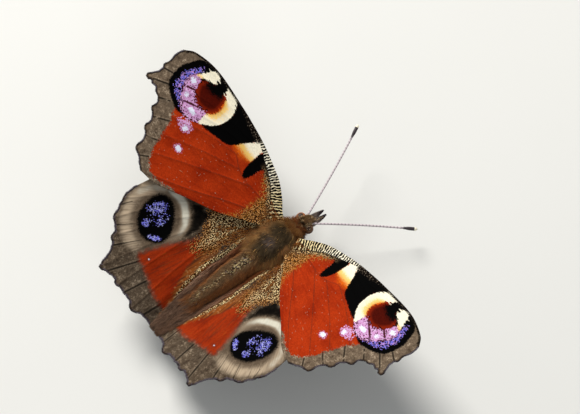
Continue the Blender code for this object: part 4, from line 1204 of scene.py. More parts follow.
def ladder(f, wings, uv, jitter):
    """Black and straw bars across the costa on a band that narrows outward, with a dark dotted zone inside it and a
    dark flecked edge beyond it."""
    from_costa, length = f.value("from_costa"), f.value("costa_length")
    drift = (f.noise(uv, 0.6) - 0.5) * 0.8 + (f.noise(uv, 2.0, 1.0) - 0.5) * 0.45
    wave = f.math("SINE", (length - from_costa * 0.12 + drift) * (2 * math.pi / LADDER_STEP))
    wave = wave + (f.noise(uv, 2.6, 0.0) - 0.5) * 1.6 + jitter * 0.3
    width = (LADDER_END - length) * 0.125 + 0.6
    start = f.step(length + jitter * 0.3, 0.5, 0.8)
    pick = f.noise(uv, 5.0, 0.0)

    dark = f.mix(wings.black, wings.brown_dark, 0.5)
    pale_dots = f.step(pick, 0.53, 0.6) * f.step(9.5 - length, -1.0, 4.5)
    dots = f.mix(dark, f.mix(wings.gold, wings.straw, 0.5), pale_dots)
    dots = f.mix(dots, wings.black, f.step(width + 0.16 - from_costa, 0.0, 0.08))
    zone = f.step(width + 0.75 - from_costa + jitter * 0.4 + drift * 0.2, -0.15, 0.15)
    f.lay(dots, zone * f.step(10.0 - length, 0.0, 1.0) * start)

    pale = f.mix(wings.straw, wings.cream, f.step(length, 3.0, 8.0))
    bars = f.mix(wings.black, pale, f.step(wave, 0.32, 0.56))
    within = f.step(width - from_costa + jitter * 0.12, -0.04, 0.04)
    f.lay(bars, within * f.step(LADDER_END - length, -0.2, 0.1) * start)

    breadth = 0.36 + 0.55 * f.step(18.5 - length, 0.0, 3.0)
    edge = f.step(breadth - from_costa + jitter * 0.3, -0.15, 0.15) * f.step(length - LADDER_END, -0.2, 0.2)
    f.lay(f.mix(f.mix(wings.black, wings.brown_dark, 0.12), wings.buff, f.step(pick, 0.63, 0.7) * 0.4), edge)


def finish_hindwing(wings):
    """Upper face of the hindwing: the brown ground, then each mark over it in turn."""
    f, uv, fan, random, relief = wing_finish("hindwing_scales", 0.03, (5.5, 9.0))
    jitter = random - 0.5
    soft = f.noise(uv, 1.2, 3.0) - 0.5
    fine = f.noise(fan, (10.0, 0.35))
    streaks = f.noise(fan, (5.5, 0.2), 3.0)
    line = wavering(f, uv, "folds", 3.0, 0.08)

    def strewn(amount, scales):
        """Scattered scales, more of them where the amount is greater."""
        return f.step(amount - f.cells(uv, scales)[0], 0.0, 0.05)

    f.laid = f.dim(brown_field(f, wings, uv, random, line), 0.56 + random * 0.1)
    f.lay(wings.brown_dark, f.step(0.14 - f.value("veins"), 0.0, 0.1) * 0.35)
    buff = f.mix(wings.buff, wings.brown, f.step(fine, 0.45, 0.7) * 0.7)
    buff = f.mix(buff, wings.black, f.step(0.13 - line, 0.0, 0.08) * 0.7)
    f.lay(buff, f.value("buff") * 0.95)
    near_eye = f.step(f.value("eyespot"), -2.6, -0.2)
    f.lay(f.mix(wings.brown_dark, wings.brown, 0.75), near_eye * 0.7 * (1.0 - f.value("buff")))
    # The stored white also carries the painted light at the start of the buff arc, laid here as lighter buff and
    # chalk
    f.lay(f.mix(wings.brown, wings.buff, 0.5), f.step(f.value("white"), 0.0, 0.4) * 0.6)
    chalk = f.mix(wings.chalk, wings.buff, f.step(fine, 0.5, 0.75) * 0.5)
    f.lay(chalk, f.step(f.value("white") + soft * 0.3, 0.3, 0.9))

    red = f.tint(red_field(f, wings, uv, fan, random), (0.78, 0.88, 1.0))
    red = f.mix(red, wings.brown_dark, f.step(streaks, 0.5, 0.7) * 0.4)
    red = f.mix(red, wings.gold, f.step(fine, 0.62, 0.75) * 0.22)
    ragged = jitter * 0.3 + (streaks - 0.5) * 0.6 + soft * 1.0
    f.lay(red, f.step(f.value("red") + ragged, -0.6, 0.6))
    f.lay(wings.brown_dark, f.step(f.value("dot") + soft * 0.3, -0.5, 0.2) * 0.5)
    f.lay(wings.white, f.step(f.value("dot") + jitter * 0.1, -0.05, 0.1) * 0.8)

    rust = f.mix(wings.rust, wings.gold, f.step(fine, 0.5, 0.7) * 0.45)
    rust = f.mix(rust, wings.brown_dark, f.step(streaks, 0.44, 0.62) * 0.8)
    strip = f.step(f.value("strip"), -0.7, 0.9) * f.step(f.value("red") + 2.6, 0.0, 1.8)
    f.lay(rust, f.step(strip + jitter * 0.4, 0.35, 0.75) * 0.85)
    dark = f.step(f.value("blotch") + soft * 0.6 + (streaks - 0.5) * 0.6, -0.4, 0.6)
    f.lay(wings.black, dark * 0.95)
    bright = f.mix(wings.gold, wings.straw, 0.15 + 0.8 * f.step(f.value("speckled"), 0.0, 1.8))
    flecked = speckles(f, uv, f.mix(wings.rust, wings.gold, 0.4), wings.black, bright, 0.52, 0.57, 5.0)
    f.lay(flecked, strewn(f.step(f.value("speckled"), -1.2, 0.8) * (1.0 - dark * 0.97), (6.0, 7.0)))
    f.lay(f.mix(wings.gold, wings.straw, 0.3), strewn(strip * 0.16, (4.0, 4.4)) * 0.25)
    woven = speckles(f, uv, f.mix(wings.gold, wings.black, 0.4), wings.black, wings.straw, 0.51, 0.56, 4.6)
    f.lay(woven, f.step(f.value("speckle_line") + jitter * 0.4, -0.1, 0.1))
    mauve = f.mix(wings.mauve, wings.brown_dark, f.step(streaks, 0.42, 0.66) * 0.45)
    mauve = f.mix(mauve, wings.rust, f.step(fine, 0.6, 0.75) * 0.4)
    f.lay(mauve, f.step(f.value("fold") + soft * 0.5, -0.25, 0.35))

    f.lay(wings.black, f.step(f.value("eyespot") + jitter * 0.3 + soft * 0.4, -0.4, 0.15))
    blue = f.mix(wings.blue, f.mix(wings.blue, wings.white, 0.5), f.step(random, 0.5, 0.9))
    amount = f.value("blue") * (0.62 + soft * 1.8)
    f.lay(blue, f.step(amount - f.cells(uv, (7.4, 7.4))[0], 0.0, 0.06))
    rim = f.mix(wings.brown_dark, RIM_SHEEN, f.step(random, 0.45, 0.8) * 0.7)
    f.lay(rim, f.step(0.3 - f.value("rim") + jitter * 0.15, 0.0, 0.12) * 0.8)
    return f.done(f.laid, wing_relief(f, relief) + streaks * 0.8, 0.02)


def finish_underside(wings):
    """Lower face of all wings: near black, ruled across with fine wavy lines, and paler toward the margin."""
    f, uv, fan, random, relief = wing_finish("underside_scales", 0.1)
    waves = f.math("SINE", f.second(fan) * 9.0 + f.noise(uv, 0.8, 3.0) * 14.0)
    f.laid = f.mix(wings.black, wings.under, f.step(waves, -0.4, 0.8) * 0.8 + random * 0.2)
    f.lay(wings.brown_dark, f.step(f.noise(uv, 0.18, 3.0), 0.4, 0.62))
    f.lay(wings.brown, f.step(2.6 - f.value("rim"), 0.0, 1.2) * 0.45)
    f.lay(wings.black, f.step(0.16 - f.value("veins"), 0.0, 0.12) * 0.6)
    return f.done(f.dim(f.laid, 0.75 + random * 0.5), wing_relief(f, relief), 0.02)


def finish_coat(name, roughness=0.62):
    """Hair, each tuft in its own stored colour, finely streaked."""
    f = Finish(name, roughness, 0.18)
    return f.done(f.dim(f.coat(), 0.78 + f.noise(f.place(), 9.0) * 0.44))


def finish_skin(name):
    """Skin under the coat, in the same stored colours, grained like packed scales."""
    f = Finish(name, 0.6, 0.3)
    random, distance = f.cells(f.place(), (6.0, 6.0, 6.0))
    return f.done(f.dim(f.coat(), 0.55 + random * 0.5), distance * -1.0, 0.03)


def finish_eye(body):
    """Compound eye: fine facets, and rings about its upper pole painted as the eye's reflection of the light, from a
    dark pupil through a broken pale ring and an olive one to chestnut and a dark rim. The blushing eye has a warm
    ring in place of a second dark one."""
    f = Finish("eye_facets", 0.5, 0.3, Coat_Weight=0.05, Coat_Roughness=0.2)
    place = f.place()
    facets = f.node("ShaderNodeTexVoronoi", {}, {"Vector": place, "Scale": 17.0, "Randomness": 0.25})
    polar = f.value("polar") + (f.noise(place, 1.7) - 0.5) * 0.3
    dark, pale = f.tint(body.eye, (0.16, 0.14, 0.14)), f.mix(body.rim, body.collar, 0.25)
    broken = f.step(f.noise(place, 2.4, 1.0), 0.44, 0.54)
    f.laid = f.mix(dark, pale, f.step(polar, 0.25, 0.31) * broken)
    f.lay(EYE_OLIVE, f.step(polar, 0.38, 0.44))
    f.lay(body.eye, f.step(polar, 0.55, 0.75))
    f.lay(dark, f.step(polar, 0.7, 0.9) * (1.0 - f.value("blush")) * 0.55)
    f.lay(pale, f.step(0.05 - f.math("ABSOLUTE", polar - 0.8), 0.0, 0.03) * (1.0 - broken) * 0.6)
    f.lay(EYE_BLUSH, f.step(polar, 0.45, 0.75) * f.step(1.6 - polar, 0.0, 0.3) * f.value("blush") * 0.62)
    f.lay(dark, f.step(polar, 1.4, 1.9) * 0.8)
    return f.done(f.dim(f.laid, 1.25 - facets * 0.9), facets * -1.0, 0.012)


def finish_antenna(body, wings):
    """Feeler: a pale grey-mauve shaft with a darker ring on each segment, a dark club and a cream tip."""
    f = Finish("feeler_scales", 0.5)
    length = f.second(f.uv("shaft"))
    phase = f.math("FRACT", length / SEGMENT)
    dark = f.step(phase, 0.55, 0.66) * f.step(0.96 - phase, 0.0, 0.1)
    club = ANTENNA_LENGTH - CLUB_LENGTH
    f.laid = f.mix(body.ring, body.shaft, 0.06 + dark * 0.6)
    f.lay(body.club, f.step(length, club, club + 0.8))
    f.lay(wings.cream, f.step(length, ANTENNA_LENGTH - 0.32, ANTENNA_LENGTH - 0.2))
    grain = f.noise(f.place(), 12.0)
    return f.done(f.dim(f.laid, 0.75 + grain * 0.5), grain, 0.01)


def finish_horn(name, colour, dark, roughness):
    """Plain horn-like cover of a limb or the tongue, darker in patches and finely grained."""
    f = Finish(name, roughness)
    patches = f.mix(dark, colour, f.step(f.noise(f.place(), 2.2, 3.0), 0.35, 0.6))
    grain = f.noise(f.place(), 14.0)
    return f.done(f.dim(patches, 0.75 + grain * 0.5), grain, 0.012)


class BUTTERFLY_OT_wings(bpy.types.Operator):
    """Make the four wings with their raised veins, pleats and markings"""

    bl_idname = "butterfly.wings"
    bl_label = "Wings"

    def execute(self, context):
        wings = context.scene.butterfly_wings
        under = finish_underside(wings)
        kinds = {
            "forewing": (forewing_net, forewing_marks, finish_forewing(wings)),
            "hindwing": (hindwing_net, hindwing_marks, finish_hindwing(wings)),
        }
        for kind, (net, marks, upper) in kinds.items():
            flat, outer = net()
            stored = marks(flat.reshape(-1, 2), outer)
            for word, side in SIDES.items():
                self.make(Wing(kind, side), word, flat, stored, [upper, under], wings)
        return {"FINISHED"}

    def make(self, wing, word, flat, stored, finishes, wings):
        """Two faces on one bowed surface. Between the veins it sags by the pleat, and each vein thickens it by a
        ridge, both smooth steps of the distance to the nearest vein."""
        rows, columns = flat.shape[:2]
        veins, folds, rim = (stored[key].reshape(rows, columns, 1) for key in ("veins", "folds", "rim"))
        sag = wings.pleat / MM * (smoothstep(veins, 0.1, 1.7) - 0.7 * smoothstep(0.5 - folds, 0, 0.5))
        ridge = wings.ridge / MM * smoothstep(0.4 - veins, 0, 0.4)
        half = wings.half_thickness / MM * (0.5 + 0.5 * smoothstep(rim, 0, 0.8)) + ridge
        points = np.concatenate([wing.places(flat, sign * half - sag).reshape(-1, 3) for sign in (1, -1)])
        count = rows * columns
        faces = grid_faces(rows, columns)
        index = np.arange(count).reshape(rows, columns)
        loop = np.concatenate([index[0], index[1:, -1], index[-1, -2::-1], index[-2:0:-1, 0]])
        after = np.roll(loop, -1)
        blocks = [faces, (faces + count)[:, ::-1], np.stack([after, loop, loop + count, after + count], axis=1)]
        a, b, c = points[faces[len(faces) // 2, :3]]
        if np.cross(b - a, c - a) @ wing.upward < 0:
            blocks = [block[:, ::-1] for block in blocks]
        which = np.repeat([0, 1, 0], [len(block) for block in blocks])
        plane = flat.reshape(-1, 2)
        ahead, aside = (plane + FOREWING_FAN).T
        if wing.kind == "hindwing":
            aside, ahead = ((plane + HINDWING_FAN) * (-1, 1)).T
        fan = np.stack([np.arctan2(ahead, aside) * 12, np.hypot(ahead, aside)], axis=1)
        values = {key: np.tile(numbers, 2) for key, numbers in stored.items()}
        maps = {key: np.tile(places + 40.0, (2, 1)) for key, places in (("wing", plane), ("fan", fan))}
        node = f"{wing.kind}_{word}"
        add_piece(f"{node}_scaled", points, blocks, finishes, (node,), values, maps, None, which)


class BUTTERFLY_OT_fringes(bpy.types.Operator):
    """Make the fringe of scales along the outer margins"""

    bl_idname = "butterfly.fringes"
    bl_label = "Wing fringes"

    def execute(self, context):
        length = context.scene.butterfly_wings.fringe / MM
        coat = finish_coat("fringe_scales", 0.7)
        kinds = {
            "forewing": (forewing_net, FOREWING_ENDS, (-4.0, 12.0)),
            "hindwing": (hindwing_net, HINDWING_ENDS, (-12.0, 7.0)),
        }
        for kind, (net, ends, middle) in kinds.items():
            _, outer = net(8, 8)
            for word, side in SIDES.items():
                draw = np.random.default_rng(SEEDS["fringe"] + side)
                self.make(f"{kind}_{word}_fringe", Wing(kind, side), draw, outer, ends, middle, length, coat)
        return {"FINISHED"}

    def make(self, name, wing, draw, outer, ends, middle, length, coat):
        """Scales that stand off the margin, away from the wing's middle, paler between the vein ends."""
        count = 2600
        shares = np.sort(draw.uniform(0.004, 0.996, count))
        flat = along(outer, shares)
        ahead = way(outer, shares, 0.004)
        aside = np.stack([-ahead[:, 1], ahead[:, 0]], axis=1)
        aside = aside * np.sign(((flat - middle) * aside).sum(axis=1, keepdims=True))
        near_end = np.min(np.linalg.norm(flat[:, None] - np.array(list(ends.values())), axis=2), axis=1)
        height = draw.uniform(-0.05, 0.05, (count, 1))
        lies = aside + ahead * draw.normal(0, 0.22, (count, 1))
        lengths = length * draw.uniform(0.7, 1.15, count)
        pale = smoothstep(near_end, 0.5, 1.4) * draw.uniform(0.3, 1.0, count)
        hues = blend(np.array(FRINGE_DARK), np.array(FRINGE_PALE), pale)
        comb_wing(
            name, wing, flat, lies, lengths, TUFT["fringe"], hues, coat, height, aside * 0.12,
            rise=draw.uniform(-0.12, 0.12, count), rings=2, sunk=0.0,
        )


class BUTTERFLY_OT_wing_hair(bpy.types.Operator):
    """Make the long hair at the wing roots and in the folds beside the abdomen"""

    bl_idname = "butterfly.wing_hair"
    bl_label = "Wing hair"

    def execute(self, context):
        wings = context.scene.butterfly_wings
        coat = finish_coat("wing_hair", 0.6)
        for word, side in SIDES.items():
            draw = np.random.default_rng(SEEDS["wing_hair"] + side)
            self.hindwing_hair(draw, word, side, coat, wings)
            self.forewing_hair(draw, word, side, coat, wings)
        return {"FINISHED"}

    def hindwing_hair(self, draw, word, side, coat, wings):
        """Mauve-brown hair combed back along the inner fold, some of it leaning inward over the gap beside the
        abdomen, and a few golden-brown hairs fanned from the root."""
        fold_count, beside_count, root_count = 4200, 6800, 700
        u = -3.0 - 21.2 * draw.uniform(0, 1, beside_count) ** 0.9
        inner = (abdomen_profile(u + HINDWING_BACK) - HINGE_OUT) / math.cos(HINDWING_TILT) + 0.12
        fold = np.arange(beside_count) < fold_count
        border = np.array(INNER_FOLD[:7])[::-1]
        outer = np.interp(u, border[:, 0], border[:, 1]) + 0.15
        spread = draw.uniform(0, 1, beside_count) * np.where(fold, np.maximum(outer - inner, 0.1), 0.4)
        lean = np.where(fold, draw.normal(-0.03, 0.08, beside_count), -draw.uniform(0.25, 0.75, beside_count))
        reach = 1.5 + 6.0 * draw.uniform(0, 1, root_count) ** 1.2
        angle = draw.uniform(math.radians(1), math.radians(40), root_count)
        fan = np.stack([-np.cos(angle), np.sin(angle)], axis=1)
        flat = np.vstack([np.stack([u, inner + spread], axis=1), (-0.8, 1.3) + reach[:, None] * fan])
        fold_lie = np.stack([np.full(beside_count, -1.0), lean], axis=1)
        lies = np.vstack([fold_lie, fan + draw.normal(0, 0.07, (root_count, 2))])
        count = len(flat)
        fold_length = np.where(fold, draw.uniform(1.1, 2.4, beside_count), draw.uniform(0.7, 1.4, beside_count))
        fold_length = np.minimum(fold_length, 24.6 + u + draw.uniform(0.0, 0.3, beside_count))
        lengths = np.concatenate([fold_length, draw.uniform(0.5, 1.1, root_count)])
        mauve, rust, gold, dark = hues_of(wings, "mauve rust gold brown_dark")
        pick = draw.uniform(0, 1, (count, 1))
        near = np.clip(0.75 * smoothstep(flat[:, 0], -15.0, -5.0) + (0.35 if side > 0 else 0.1), 0, 1)
        fold_hue = np.where(pick < 0.12, dark, blend(mauve, rust, near))
        fold_hue = fold_hue * (1 - 0.5 * smoothstep(-flat[:, :1], 13.0, 19.0))
        root_hue = np.where(pick < 0.45, rust, np.where(pick < 0.75, gold, dark))
        hues = np.where(np.arange(count)[:, None] < beside_count, fold_hue, root_hue)
        comb_wing(
            f"hindwing_{word}_hair", Wing("hindwing", side), flat, lies, lengths, TUFT["wing_hair"],
            hues * draw.uniform(0.75, 1.2, (count, 1)), coat, dark_root=0.75, rise=draw.uniform(0.04, 0.14, count),
            bend=draw.normal(0, 0.06, count),
        )

    def forewing_hair(self, draw, word, side, coat, wings):
        """Short golden-brown hair over the forewing's root, combed outward."""
        count = 350
        reach = 0.3 + 2.6 * draw.uniform(0, 1, count) ** 1.5
        angle = draw.uniform(math.radians(-64), math.radians(12), count)
        fan = np.stack([np.sin(angle), np.cos(angle)], axis=1)
        flat = (-0.9, 0.2) + reach[:, None] * fan
        lies = fan + draw.normal(0, 0.15, (count, 2))
        rust, gold, dark = hues_of(wings, "rust gold brown_dark")
        pick = draw.uniform(0, 1, (count, 1))
        hues = np.where(pick < 0.4, rust, np.where(pick < 0.7, gold, dark)) * draw.uniform(0.7, 1.2, (count, 1))
        comb_wing(
            f"forewing_{word}_hair", Wing("forewing", side), flat, lies, draw.uniform(0.4, 1.1, count),
            TUFT["wing_hair"], hues, coat, rise=draw.uniform(0.08, 0.25, count), rings=2,
        )


class BUTTERFLY_OT_body(bpy.types.Operator):
    """Make one skin for the thorax, neck, head and abdomen"""

    bl_idname = "butterfly.body"
    bl_label = "Body skin"

    def execute(self, context):
        rows, sides = 300, 96
        share = 0.75 * np.linspace(0, 1, rows) + 0.125 * (1 - np.cos(np.linspace(0, np.pi, rows)))
        stations = BODY_FROM + (BODY_TO - BODY_FROM) * share
        turns = np.linspace(0, 2 * np.pi, sides, endpoint=False)
        y, turn = (axis.ravel() for axis in np.meshgrid(stations, turns, indexing="ij"))
        tail = np.array([0.0, BODY_FROM - 0.02, ABDOMEN_HEIGHT])
        nose = turned(np.array([0.0, BODY_TO + 0.02, HEAD_CENTRE[2]]))
        points = np.vstack([body_place(y, turn), tail, nose])
        hue = body_hue(y, turn)
        hue = np.vstack([hue, hue[:1], hue[-1:]]) * 0.7
        nodes = ("thorax", "abdomen", "head")
        finishes = [finish_skin("body_skin")]
        add_piece("body_skin", points, ring_faces(rows, sides), finishes, nodes, colours={"coat": hue})
        return {"FINISHED"}


class BUTTERFLY_OT_coat(bpy.types.Operator):
    """Make the hair of the thorax, abdomen and head"""

    bl_idname = "butterfly.coat"
    bl_label = "Body coat"

    def execute(self, context):
        body = context.scene.butterfly_body
        coat = finish_coat("body_hair")
        self.thorax(np.random.default_rng(SEEDS["thorax"]), body, coat)
        self.ruff(np.random.default_rng(SEEDS["ruff"]), body, coat)
        for word, side in SIDES.items():
            self.mantle(np.random.default_rng(SEEDS["mantle"] + side), word, side, body, coat)
        self.abdomen(np.random.default_rng(SEEDS["abdomen"]), body, coat)
        self.head(np.random.default_rng(SEEDS["head"]), body, coat)
        return {"FINISHED"}

    def thorax(self, draw, body, coat):
        """Hair combed backward in soft waves, longest at the rear. It is kept off the wings' planes."""
        at = Roots(draw, int(body.thorax_tufts * 1.25), -7.3, 0.55)
        out, up = np.abs(at.place[:, 0]), at.place[:, 2]
        level = (out - HINGE_OUT) * math.tan(FOREWING_TILT)
        near_wing = (out > 1.7) & (up < level + 0.1) & (up > level + HINDWING_DOWN - 0.1)
        near_wing &= (at.y < 0.2) & (at.y > -6.2)
        spared = draw.uniform(0, 1, len(out)) < 0.15
        at.keep(np.flatnonzero(~near_wing | spared)[: body.thorax_tufts])
        count = len(at.y)
        flank = smoothstep(np.abs(at.side), 0.4, 0.9) * (at.top > -0.3)
        lock = at.locks(draw, 0.32, 0.15 * at.ripple(23, 3.0))
        sway = 0.35 * at.ripple(21, 2.2) + 0.5 * (lock - 0.5) + draw.normal(0, 0.13, count)
        lies = at.back + at.around * (sway - at.side * (0.35 + 0.75 * flank))[:, None]
        lengths = body.thorax_hair / MM * draw.uniform(0.6, 1.15, count)
        lengths = lengths * (0.6 + 0.4 * smoothstep(-at.y, -0.2, 1.0)) * (1 + 0.3 * smoothstep(-at.y, 4.5, 6.5))
        rise = 0.42 + 0.12 * at.ripple(22, 2.6) + draw.normal(0, 0.07, count)
        hues = at.hue() * (draw.uniform(0.65, 1.2, count) * (0.8 + 0.4 * lock))[:, None]
        gilded = draw.uniform(0, 1, count) < 0.03 + 0.2 * smoothstep(np.abs(at.place[:, 0]), 1.2, 2.0)
        hues = np.where(gilded[:, None], GILT, hues)
        bend = draw.normal(0, 0.12, count)
        shape = {"rise": rise, "hug": 0.12, "bend": bend, "sunk": 0.1}
        at.comb("thorax_coat", "thorax", coat, lies, lengths, TUFT["thorax"], hues, **shape)

    def ruff(self, draw, body, coat):
        """Rusty hair that stands out and forward round the neck, up to the eyes."""
        at = Roots(draw, 4200, -1.1, 0.85)
        at.keep(at.top > -0.75)
        count = len(at.y)
        lock = at.locks(draw, 0.35)
        sway = 0.5 * (lock - 0.5) + draw.normal(0, 0.22, count)
        lies = at.around * sway[:, None] - at.back + at.normal * 0.35
        lengths = draw.uniform(0.7, 1.15, count) * (1 - 0.25 * smoothstep(at.top, 0.6, 1.0))
        collar, golden = hues_of(body, "collar golden")
        hues = collar * (draw.uniform(0.55, 1.2, count) * (0.65 + 0.6 * lock))[:, None]
        brown = draw.uniform(0, 1, count) < 0.8 - 0.5 * smoothstep(at.y, -0.7, 0.3)
        earthy = golden * (0.9, 0.75, 0.5) * draw.uniform(0.4, 0.75, (count, 1))
        hues = np.where(brown[:, None], earthy, hues)
        rise, bend = 0.55 + 0.2 * lock, draw.normal(0, 0.12, count)
        at.comb("ruff_coat", "thorax", coat, lies, lengths, TUFT["ruff"], hues, rise=rise, bend=bend, sunk=0.1)

    def mantle(self, draw, word, side, body, coat):
        """Long hair from the thorax's flank above the wing roots, which lies over them: outward along the wing,
        backward, and down by its root's height over the membrane."""
        most = 3800
        at = Roots(draw, most * 7, -7.2, 0.2)
        over_forewing = at.y > -3.3
        out = side * at.place[:, 0]
        level = np.where(over_forewing, 0.0, HINDWING_DOWN) + (out - HINGE_OUT) * math.tan(FOREWING_TILT)
        at.height = at.place[:, 2] - level
        low_enough = at.height < np.where(over_forewing, 1.2, 2.1)
        at.keep(np.flatnonzero((out > 1.0) & (at.height > 0.15) & low_enough)[:most])
        count = len(at.y)
        wing = Wing("forewing", side)
        lengths = body.mantle / MM * draw.uniform(0.55, 1.15, count) * (0.6 + 0.4 * smoothstep(-at.y, -0.2, 1.6))
        wave = at.ripple(51, 2.4)
        outward = draw.uniform(0.25, 0.95, count) * (1.1 - 0.25 * at.height) + 0.2 * wave
        backward = draw.uniform(0.35, 1.0, count) + 0.5 * smoothstep(-at.y, 4.0, 7.0)
        flat = unit(np.stack([-backward, outward], axis=1))
        fall = (at.height - 0.2) / lengths + 0.1
        lies = wing.direction(flat) - wing.upward * fall[:, None]
        pick = draw.uniform(0, 1, (count, 1))
        golden, umber, olive = hues_of(body, "golden umber olive")
        hues = np.where(pick < 0.65, golden, np.where(pick < 0.88, umber, olive))
        shade = draw.uniform(0.65, 1.2, count) * (1 - 0.45 * smoothstep(at.y, -3.2, -1.4))
        at.normal = np.broadcast_to(wing.upward, (count, 3))
        at.comb(
            f"mantle_{word}", "thorax", coat, lies, lengths, TUFT["mantle"], hues * shade[:, None],
            rise=0.1 + 0.06 * wave, bend=draw.normal(0, 0.12, count), sunk=0.1,
        )

    def abdomen(self, draw, body, coat):
        """Short hair that lies backward and down the flanks, with clumps of pale and grey scales along the back."""
        count = body.abdomen_tufts
        at = Roots(draw, count, -19.45, -7.0)
        lock = at.locks(draw, 0.2, 0.1 * at.ripple(44, 4.0))
        flank = smoothstep(0.35 - at.top, 0, 0.5) * (at.top > -0.85)
        sway = 0.2 * at.ripple(41, 2.0) + 0.3 * (lock - 0.5) + draw.normal(0, 0.14, count)
        lies = at.back + at.around * (sway - 0.6 * at.side * (at.top > -0.2))[:, None]
        front = smoothstep(at.y, -9.5, -7.2)
        lengths = body.abdomen_hair / MM * draw.uniform(0.55, 1.15, count) * (1 + 0.5 * front + 0.5 * flank)
        lengths = lengths * (1 + 1.2 * smoothstep(-at.y, 17.5, 19.3))
        rise = 0.2 + 0.1 * front + 0.5 * flank + np.abs(draw.normal(0, 0.07, count))
        band = np.exp(-(((at.turn - 1.52 + 0.15 * at.ripple(43, 2.0)) / 0.36) ** 2))
        marked = draw.uniform(0, 1, count) < 1.3 * band * (0.5 + 0.5 * smoothstep(at.y, -14.0, -9.0))
        glint, speck, dusk = hues_of(body, "glint speck dusk")
        pick = (at.locks(draw, 0.15) + draw.normal(0, 0.04, count))[:, None]
        pale_or_dusk = np.where(pick > 0.68, speck, dusk)
        clump = np.where(pick < 0.4, CLUMP_BLACK, np.where(pick < 0.52, glint * 0.8, pale_or_dusk))
        hues = np.where(marked[:, None], clump, at.hue() * (0.75 + 0.5 * lock[:, None]))
        at.comb(
            "abdomen_coat", "abdomen", coat, lies, lengths * np.where(marked, 0.5, 1.0),
            np.where(marked, TUFT["clump"], TUFT["abdomen"]), hues * draw.uniform(0.7, 1.2, (count, 1)),
            dark_root=0.7, rise=rise, hug=0.06, bend=draw.normal(0, 0.1, count),
        )

    def head(self, draw, body, coat):
        """Short hair: backward on the nape, upright on the crown, forward on the face, and a pale rim beside each
        eye, where it is shortest."""
        at = Roots(draw, int(body.head_tufts * 1.6), 0.7, BODY_TO - 0.02)
        eyes = [turned(mirrored(EYE_CENTRE, side)) for side in SIDES.values()]
        at.from_eye = np.min([np.linalg.norm(at.place - eye, axis=1) for eye in eyes], axis=0) - EYE_RADIUS
        at.keep(np.flatnonzero(at.from_eye > 0.01)[: body.head_tufts])
        count = len(at.y)
        ahead = smoothstep(at.y, 0.9, 2.6)[:, None]
        upright = 0.3 + 1.6 * (1 - np.abs(1 - 2 * ahead))
        lies = at.back * (1 - 2 * ahead) + at.around * draw.normal(0, 0.25, (count, 1)) + at.normal * upright
        open_ground = smoothstep(at.from_eye, 0.0, 0.5)
        lock = at.locks(draw, 0.3)
        lengths = body.head_hair / MM * draw.uniform(0.6, 1.25, count) * (0.4 + 0.6 * open_ground)
        near_eye = 1 - smoothstep(at.from_eye, 0.12, 0.4)
        rim = draw.uniform(0, 1, count) < 0.6 * near_eye * (at.top > 0.0)
        crown = (lock > 0.78) & (at.top > 0.45) & (at.y > 1.3) & (draw.uniform(0, 1, count) < 0.8)
        hues = np.where((rim | crown)[:, None], np.array(body.rim), at.hue() * (0.6 + 0.7 * lock[:, None]))
        hues = hues * draw.uniform(0.6, 1.3, (count, 1))
        rise, bend = draw.uniform(0.1, 0.45, count) * open_ground, draw.normal(0, 0.15, count)
        at.comb("head_coat", "head", coat, lies, lengths, TUFT["head"], hues, rise=rise, bend=bend, sunk=0.05)


class BUTTERFLY_OT_eyes(bpy.types.Operator):
    """Make the two compound eyes"""

    bl_idname = "butterfly.eyes"
    bl_label = "Eyes"

    def execute(self, context):
        finish = finish_eye(context.scene.butterfly_body)
        for word, side in SIDES.items():
            centre = mirrored(EYE_CENTRE, side)
            points, faces = self.ball(centre, EYE_RADIUS, 48, 64)
            # The rings of painted reflection centre on this pole, tipped up and a little outward
            pole = unit(np.array([side * 0.22, -0.02, 1.0]))
            polar = np.arccos(np.clip((points - centre) @ pole / EYE_RADIUS, -1, 1))
            values = {"polar": polar, "blush": np.full(len(points), float(word == "left"))}
            add_piece(f"eye_{word}_faceted", turned(points), faces, [finish], (f"eye_{word}",), values)
        return {"FINISHED"}

    def ball(self, centre, radius, rows, sides):
        """A sphere: rings whose radius is the sine of the angle from its pole."""
        polar = np.linspace(0, np.pi, rows + 2)[1:-1]
        reach = np.array([0.0, radius, 0.0])
        points, faces = tube(centre + np.cos(polar)[:, None] * reach, np.sin(polar) * radius, sides)
        points[-2:] = centre + reach, centre - reach
        return points, faces


